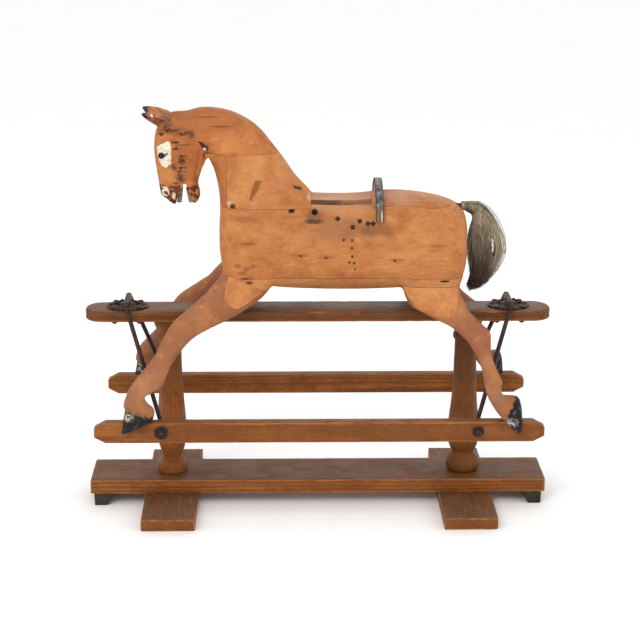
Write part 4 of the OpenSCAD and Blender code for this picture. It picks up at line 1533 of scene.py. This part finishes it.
def ear_wood(name):
    sh = Shader(name)
    late, fibre, _ = grain(sh, (-0.9, 0, 0.4), (-380, 30, 1010), 5.0, 2.2)
    sh.colour = sh.mix(late, (176, 106, 58), (140, 76, 38))
    facing = sh.vector("DOT_PRODUCT", sh.normal, (-0.25, 0, -0.75))
    sideways = abs(sh.split(sh.normal)[1])
    hollow = sh.rise(facing + sideways * 0.25, 0.35, 0.6)
    ragged = sh.rise(sh.noise(sh.place, 90, 4, 0.6), 0.35, 0.55)
    sh.stain(hollow * ragged, (70, 56, 48))
    lines = sh.rise(sh.noise(sh.place * (0.35, 1, 1.2), 150, 3, 0.6), 0.5, 0.6)
    lines = lines * sh.blob((-428, -40, 1072), (34, 30, 18), 0.8)
    sh.stain(lines * 0.8, (52, 36, 30))
    sh.blot(1.0, (226, 216, 200), (-444, -36, 1083), (3.6, 20, 10), 0.5, 0.8, 110)  # smear
    dark_tip = sh.fall(sh.axis(0), -0.461, -0.452)
    sh.stain(dark_tip, (26, 26, 30))
    sh.blot(0.6, (70, 46, 34), (-404, 33, 1070), (26, 30, 22), 1.0, 1.0, 80, both=True)  # root
    return sh.finish(sh.rise(fibre, 0.2, 0.8, 0.5, 0.65), fibre, 0.0007)


EYE_RADIUS = 8.6


def glass(side):
    rows = []
    for i in range(17):
        a = math.pi * (i + 0.5) / 17
        rows.append((EYE_RADIUS * math.sin(a), EYE_RADIUS * math.cos(a)))
    return lathe("eye", rows, (EYE[0] - 3, side * 39, EYE[1]), 32, "Y")


TOOTH_PITCH = 6.4
TOOTH_GAP = 0.5


def row_of_teeth():
    """Upper and lower teeth: tapered blocks side by side across the mouth."""
    parts = []
    for top_x, low_x, wide in ((-369, -377, 6.6), (-356, -345, 5.6)):
        for k in range(5):
            left = -2.5 * TOOTH_PITCH + TOOTH_PITCH * k
            y0, y1 = left + TOOTH_GAP / 2, left + TOOTH_PITCH - TOOTH_GAP / 2
            drop = 2.2 * abs(k - 2) * 0.5
            tooth = mesh_object("tooth", *hexagon_block(top_x, low_x, wide, y0, y1, 889, 847 + drop))
            tooth = modify(tooth, "BEVEL", width=1.1 * MM, segments=2, limit_method="ANGLE")
            parts.append(tooth)
    return crisp(join(parts, "teeth"), 40)


def hexagon_block(top_x, low_x, wide, y0, y1, top_z, low_z):
    """Box that leans from top_x to low_x and is wider at its lower end."""
    verts = []
    for y in (y0, y1):
        verts += [(top_x - wide * 0.35, y, top_z), (top_x + wide * 0.35, y, top_z)]
        verts += [(low_x + wide, y, low_z), (low_x - wide, y, low_z)]
    faces = [(0, 1, 2, 3), (7, 6, 5, 4), (0, 4, 5, 1), (1, 5, 6, 2), (2, 6, 7, 3), (3, 7, 4, 0)]
    return np.array(verts) * MM, faces


def surface_y(tree, x, z):
    """Where a line of sight across the horse meets its near side, in metres."""
    hit = tree.ray_cast(Vector((x * MM, -0.5, z * MM)), Vector((0, 1, 0)))
    return hit[0], hit[1]


def tacks(tree):
    """Tack heads down the cheek, along the brow and behind the jaw."""
    places = [
        (-384, 1019), (-380, 1002), (-366, 984), (-368, 969), (-366, 952), (-371, 942), (-388, 949),
        (-373, 922), (-367, 914), (-421, 1037), (-405, 1047), (-398, 1053), (-384, 1050), (-366, 1041),
        (-353, 1044), (-318, 1019), (-309, 1012), (-302, 1003), (-297, 1009),
    ]
    parts = []
    for i, (x, z) in enumerate(places):
        place, normal = surface_y(tree, x, z)
        if place is not None:
            parts.append(nail_head(place, normal, 2.4 + 0.5 * math.sin(i * 2.1), 1.8))
    return crisp(join(parts, "tacks"), 40)


def nail_head(place, normal, radius, height, sides=10, turn=0.0, point=0.0):
    shoulder = (radius * (0.72 - 0.2 * point), height * 0.75)
    rows = [(0.001, -2.5), (radius, -2.5), (radius, 0.2 * height), shoulder, (0.001, height)]
    obj = lathe("head", rows, (0, 0, 0), sides)
    spin = Matrix.Rotation(turn, 4, "Z")
    obj.data.transform(normal.to_track_quat("Z", "Y").to_matrix().to_4x4() @ spin)
    obj.data.transform(Matrix.Translation(place))
    return obj


CANTLE = {"x": 160, "z": 786, "r": 123, "t": 16, "end": 818}


def arch_ring(radius, x0, x1, low_radius, steps=64):
    """Arch of rectangular section over the back, between two radii."""
    start = math.asin((CANTLE["end"] - CANTLE["z"]) / radius)
    rings = []
    for a in np.linspace(start, math.pi - start, steps):
        c, s = math.cos(a), math.sin(a)
        section = []
        for x, r in rounded_section(x0, x1, low_radius, radius, 2.2):
            section.append((x, r * c, CANTLE["z"] + r * s))
        rings.append(np.array(section) * MM)
    return rings


def rounded_section(x0, x1, r0, r1, soft):
    out = []
    left, right, low, high = x0 + soft, x1 - soft, r0 + soft, r1 - soft
    for cx, cr, a0 in ((right, high, 0), (left, high, 90), (left, low, 180), (right, low, 270)):
        for a in (0, 30, 60, 90):
            t = math.radians(a0 + a)
            out.append((cx + soft * math.cos(t), cr + soft * math.sin(t)))
    return out


def cantle_board(back):
    """Half-round board standing on the back, hollowed to fit it."""
    half, r, end = CANTLE["t"] / 2, CANTLE["r"] - 0.2, CANTLE["end"]
    start = math.asin((end - CANTLE["z"]) / r)
    angles = np.linspace(start, math.pi - start, 72)
    outline = [(r * math.cos(a), CANTLE["z"] + r * math.sin(a)) for a in angles]
    verts, n = [], len(outline)
    for x in (-half, half):
        verts += [(CANTLE["x"] + x, y, z) for y, z in outline]
    faces = [(i, (i + 1) % n, n + (i + 1) % n, n + i) for i in range(n)]
    faces += [tuple(range(n))[::-1], tuple(range(n, 2 * n))]
    obj = fix_normals(mesh_object("cantle", np.array(verts) * MM, faces))
    limit = math.radians(60)
    obj = modify(obj, "BEVEL", width=1.5 * MM, segments=3, limit_method="ANGLE", angle_limit=limit)
    boolean(obj, back, "DIFFERENCE")
    return crisp(obj, 40)


def cantle_binding():
    """Leather strip folded over the cantle's edge, with a lip on each face and close nails."""
    x, half = CANTLE["x"], CANTLE["t"] / 2
    r = CANTLE["r"]
    parts = [skin("over", arch_ring(r + 3, x - half - 2, x + half + 2, r + 0.1))]
    parts.append(skin("lip", arch_ring(r + 1.4, x - half - 2.2, x - half - 0.1, r - 4.5)))
    parts.append(skin("lip", arch_ring(r + 1.4, x + half + 0.1, x + half + 2.2, r - 4.5)))
    for face in (-1, 1):
        for a in np.linspace(22, 158, 19):
            t = math.radians(a)
            y, z = (r - 2.2) * math.cos(t), CANTLE["z"] + (r - 2.2) * math.sin(t)
            place = Vector((x + face * (half + 2.0), y, z)) * MM
            parts.append(nail_head(place, Vector((face, 0, 0)), 1.6, 1.2, 8))
    return crisp(join(parts, "binding"), 45)


def saddle_studs(tree):
    parts = []
    for x, z in ((48, 824), (88, 803), (107, 818), (128, 812), (142, 812)):
        place, normal = surface_y(tree, x, z)
        parts.append(nail_head(place, normal, 8.0, 3.0, 4, 0.1 * x, 0.6))
        parts.append(nail_head(place, normal, 3.6, 4.6, 10))
    return crisp(join(parts, "studs"), 30)


TAIL = [
    (387, 837, 10.6, 90, 10.6), (410, 833, 14, 88, 14), (429, 822, 21, 64, 18), (438, 797, 31, 38, 24),
    (446, 768, 40, 22, 26), (455, 728, 48, 6, 27), (455, 690, 44, -8, 27), (446, 655, 33, -22, 24),
    (431, 626, 22, -42, 19), (408, 607, 7, -62, 9),
]


def strand_path(rows, rng, s):
    """Middle line of one strand: it keeps its place in the lock, with a little swirl and wave."""
    count = len(rows)
    angle = rng.uniform(0, 2 * math.pi)
    radius = math.sqrt(rng.uniform(0.12, 1.0))
    home = math.cos(angle) * radius
    start = int(rng.uniform(0, 0.5) ** 1.6 * count) if s % 3 == 0 else 0
    stop = int(count * rng.uniform(0.72, 1.0)) if s % 4 else count - 1
    stop = max(stop, start + 8)
    swirl = rng.uniform(-0.4, 0.4)
    spread = rng.uniform(0.9, 1.06) + (0.16 if s % 9 == 0 else 0.0)
    phase = rng.uniform(0, 6.28)
    stray = rng.uniform(6, 20) if s % 13 == 0 and home > 0.3 else 0.0
    path = []
    for i in range(start, min(stop, count), 2):
        x, z, a, t, b = rows[i]
        share = i / (count - 1)
        turn = angle + swirl * share
        wave = 1 + 0.07 * math.sin(phase + share * 7)
        reach = radius if share > 0.14 else max(radius, 0.9)
        offset = math.cos(turn) * reach * spread * wave
        # A gap opens between the main lock and the loose hair behind it
        gap = 0.15 * math.exp(-(((share - 0.58) / 0.08) ** 2))
        if abs(offset - 0.46) < gap:
            offset = 0.46 + math.copysign(gap, home - 0.46)
        along = offset * a + stray * math.sin(share * math.pi) ** 2
        side = math.sin(turn) * reach * b * spread * wave
        drop = share**3 * rng.uniform(-3, 9)
        u = tilted(t)
        path.append(Vector((x + u[0] * along, side, z + u[2] * along - drop)))
    return path


def tail_hair():
    """Horsehair: a dark inner lock, and many loose strands that fan out and taper."""
    rng = random.Random(11)
    rows = smooth_rows(TAIL, 5)
    core = []
    for x, z, a, t, b in rows[6:-6]:
        u = tilted(t)
        inward = 0.26 * a
        core.append(ring((x - u[0] * inward, 0, z - u[2] * inward), u, a * 0.46, b * 0.66, 2.1, 20) * MM)
    inside = skin("core", core)
    verts, faces = [], []
    for s in range(1700):
        path = strand_path(rows, rng, s)
        thick = rng.uniform(0.4, 0.95)
        if len(path) < 3:
            continue
        first = len(verts)
        for i, p in enumerate(path):
            ahead = (path[min(i + 1, len(path) - 1)] - path[max(i - 1, 0)]).normalized()
            side = ahead.orthogonal().normalized()
            other = ahead.cross(side)
            width = thick * (1 - 0.85 * (i / (len(path) - 1)) ** 3)
            for j in range(3):
                t = 2 * math.pi * j / 3
                verts.append((p + side * (width * math.cos(t)) + other * (width * math.sin(t))) * MM)
        for i in range(len(path) - 1):
            for j in range(3):
                a, b = first + i * 3 + j, first + i * 3 + (j + 1) % 3
                faces.append((a, b, b + 3, a + 3))
        faces.append((first + 2, first + 1, first))
        last = first + (len(path) - 1) * 3
        faces.append((last, last + 1, last + 2))
    strands = mesh_object("strands", verts, faces)
    return join([inside, strands], "tail")


def tail_plug():
    profile = [(0.3, 372.3), (9.7, 372.3), (9.7, 404), (9.2, 406.5), (7, 408.6), (0.3, 409.6)]
    obj = lathe("plug", profile, (0, 0, 0), 32)
    obj.data.transform(Matrix.Translation((0, 0, 834 * MM)) @ Matrix.Rotation(math.radians(90), 4, "Y"))
    return crisp(obj, 50)


# ---------------------------------------------------------------------------
# Assembly
# ---------------------------------------------------------------------------


def build_stand():
    base = board_material("base_board", "base_board", 3.1)
    board("base_board", "stand_wood", 3, base, soft=3.5)
    for i, node in enumerate(("front_foot", "rear_foot")):
        foot = board_material(node, node, 7.3 + i, along=(0, 1, 0), worn=0.4, tone=0.9)
        board(node, "stand_wood", 8 + i, foot, soft=3.5, wear=1.2)
    black = paint_coat("batten_black", (38, 31, 24), (54, 50, 36), 30)
    for side, node in ((-1, "front_batten"), (1, "rear_batten")):
        show(tapered_batten(node, side, 12 + side), node, "stand", "batten_wood", black)
    for side, node in ((-1, "front_post"), (1, "rear_post")):
        tone = 1.06 if side < 0 else 0.86
        wood = stand_wood(node, 5.0 + side, along=(0, 0, 1), dust=0.3, tone=tone, shade=0.4)
        show(turned_post(node, side), node, "stand", "stand_wood", wood)
    rail = board_material("top_rail", "top_rail", 9.4, worn=0.3, tone=0.8, dusty=RAIL_DUST)
    show(moulded_rail("top_rail"), "top_rail", "stand", "stand_wood", rail)
    cast = metal("cast_bracket", (48, 38, 32), (72, 56, 46), (104, 62, 38), 0.5)
    for side, node in ((-1, "front_bracket"), (1, "rear_bracket")):
        show(bracket(side), node, "stand", "cast_bracket", cast)
    show(bracket_bolts(), "bracket_bolts", "stand", "cast_bracket", cast)
    show(bracket_nuts(), "bracket_nuts", "stand", "cast_bracket", cast)


def build_irons():
    iron = metal("wrought_iron", (44, 36, 32), (66, 54, 48), (92, 58, 40), 0.45, seed=3.0)
    for side, name, radius in ((-1, "front", 19), (1, "rear", 15.5)):
        body = name + "_iron"
        show(swing_iron(side), name + "_iron", body, "wrought_iron", iron)
        show(washers(side, radius), name + "_washers", body, "wrought_iron", iron)
        show(end_nuts(side), name + "_nuts", body, "wrought_iron", iron)
    return iron


def build_horse(iron):
    blocks, master = make_blocks()
    hole = lathe("hole", [(8.5, -170), (8.8, -112), (7.6, -88)], (-13, 0, 840), 32, "Y")
    crisp(carved(blocks["near_side_board"], hole))
    belly = ((2, BELLY_Z, False),)
    hip = ((2, HIP_Z, False),)
    neck_seams = ((2, NECK_Z, False),)
    top_seams = ((1, SEAT_Y, True), (1, TOP_Y, True), (2, NECK_Z, False))
    leg = {"pale": LEG_PALE, "dark": LEG_DARK, "figure": 0.12, "dirt": 0.35}
    fore_hoof = leg_marks(-486, 321, -0.28, (-512, 215, 316), (92, 80, 62), (92, 80, 44))
    hind_hoof = leg_marks(519, 351, 2.36, (510, 215, 294), (112, 112, 116), (140, 58, 34))
    seat_pale, seat_dark = (172, 130, 102), (142, 98, 72)
    top_pale, top_dark = (182, 121, 72), (150, 90, 48)
    throat_pale, throat_dark = (178, 112, 58), (142, 78, 36)
    head_pale, head_dark = (184, 112, 60), (146, 78, 38)
    pad = (196, 130, 76), (164, 95, 49)
    edge = ((1, 0, 0), (0, 30, 560), 7.0, 5.0, (180, 121, 70))
    along = (1, 0, 0)
    looks = {
        "near_side_board": pine(
            "near_side", (1, 0.055, 0.01), (0, -30, 772), 6.5, 1.0, seams=belly, marks=flank_marks(-1)
        ),
        "far_side_board": pine(
            "far_side", (1, -0.04, 0.02), (0, 40, 740), 6.0, 4.0, seams=belly, marks=flank_marks(1)
        ),
        "bottom_board": pine("bottom", *edge, seams=belly),
        "near_fore_strip": pine("near_strip", *edge, seams=belly, marks=strip_marks),
        "far_fore_strip": pine("far_strip", *edge, seams=belly),
        "near_hind_strip": pine("near_hip", *edge, seams=belly + hip, marks=hip_marks),
        "far_hind_strip": pine("far_hip", *edge, seams=belly + hip),
        "seat_board": pine(
            "seat", along, (0, 10, 780), 6.0, 6.0, seat_pale, seat_dark, top_seams[:1], seat_marks
        ),
        "top_board": pine("top", along, (0, -20, 790), 6.0, 7.0, top_pale, top_dark, top_seams, seat_marks),
        "chest_block": pine("chest", (0, 1, 0), (-200, 0, 700), 6.0, 8.0),
        "rump_block": pine("rump", (0, 1, 0), (330, 0, 700), 6.0, 9.0),
        "neck_block": pine(
            "neck", (1, 0.05, 0.16), (0, -20, 930), 6.5, 10.0, seams=neck_seams, marks=neck_marks
        ),
        "throat_block": pine(
            "throat", (0.05, 0, 1), (-250, 0, 900), 5.5, 11.0, throat_pale, throat_dark, neck_seams
        ),
        "head_block": pine(
            "head", (1, 0.04, 0.1), (-300, 15, 990), 5.5, 12.0, head_pale, head_dark,
            marks=head_marks, dirt=0.85, figure=0.14,
        ),
    }
    for side, half in ((-1, "near_"), (1, "far_")):
        y, odd = 60 * side, (1 + side) / 2
        fore, hind = (0.6, -0.25 * side, 0.8), (-0.48, -0.27 * side, 0.83)
        looks.update({
            half + "fore_leg": pine(
                half + "fore", fore, (-300, y, 560), 5.5, 13 + odd, marks=fore_hoof, **leg
            ),
            half + "hind_leg": pine(
                half + "hind", hind, (380, y, 560), 5.5, 15 + odd, seams=hip, marks=hind_hoof, **leg
            ),
            half + "shoulder_block": pine(
                half + "shoulder", (0.7, 0, 0.7), (-200, y, 620), 6.0, 17 + odd, *pad
            ),
            half + "thigh_block": pine(
                half + "thigh", (-0.5, 0, 0.9), (300, y, 620), 6.0, 19 + odd, *pad, hip
            ),
        })
    for node, obj in blocks.items():
        show(obj, node, "horse", "horse_wood", looks[node])
    head_tree = BVHTree.FromObject(blocks["head_block"], bpy.context.evaluated_depsgraph_get())
    side_tree = BVHTree.FromObject(blocks["near_side_board"], bpy.context.evaluated_depsgraph_get())
    show(tacks(head_tree), "bridle_tacks", "horse", "wrought_iron", iron)
    show(saddle_studs(side_tree), "saddle_studs", "horse", "wrought_iron", iron)
    ear = carved_ear()
    ear_look = ear_wood("ear")
    far_ear = mirrored(ear, "far")
    root = Matrix.Translation(Vector((-377, 25, 1052)) * MM)
    raised = root @ Matrix.Rotation(math.radians(4), 4, "Y") @ Matrix.Scale(1.05, 4) @ root.inverted()
    far_ear.data.transform(raised)
    show(far_ear, "far_ear", "horse", "horse_wood", ear_look)
    show(ear, "near_ear", "horse", "horse_wood", ear_look)
    eye_look = glass_eye("eye")
    show(crisp(glass(-1)), "near_eye", "horse", "eye_glass", eye_look)
    show(crisp(glass(1)), "far_eye", "horse", "eye_glass", eye_look)
    tooth = paint_coat("teeth", (142, 136, 104), (96, 88, 60), 60)
    show(row_of_teeth(), "teeth", "horse", "tooth_paint", tooth)
    pink = paint_coat("cantle_paint", (186, 122, 92), (136, 78, 52), 26)
    show(cantle_board(master), "cantle_board", "horse", "horse_wood", pink)
    show(cantle_binding(), "cantle_binding", "horse", "saddle_leather", old_leather("leather"))
    plug_look = paint_coat("plug", (92, 52, 28), (66, 36, 20), 60)
    show(tail_plug(), "tail_plug", "horse", "plug_wood", plug_look)
    show(tail_hair(), "tail", "horse", "horsehair", hair("horsehair"))
    remove(master)


def build_rails(iron):
    for i, (side, name) in enumerate(((-1, "near_hoof_rail"), (1, "far_hoof_rail"))):
        wood = board_material(name, name, 21.0 + 4 * i, worn=0.3, dust=0.35)
        show(hoof_rail(name, side), name, "horse", "stand_wood", wood)
    for node in ("foot_screws", "hoof_screws"):
        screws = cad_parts[node]
        screws.data.materials.clear()
        screws.data.materials.append(iron)


make_camera()
make_floor()
make_lights()
view = bpy.context.scene.view_settings
view.view_transform = "Standard"
view.look = "None"
build_stand()
iron_look = build_irons()
build_horse(iron_look)
build_rails(iron_look)
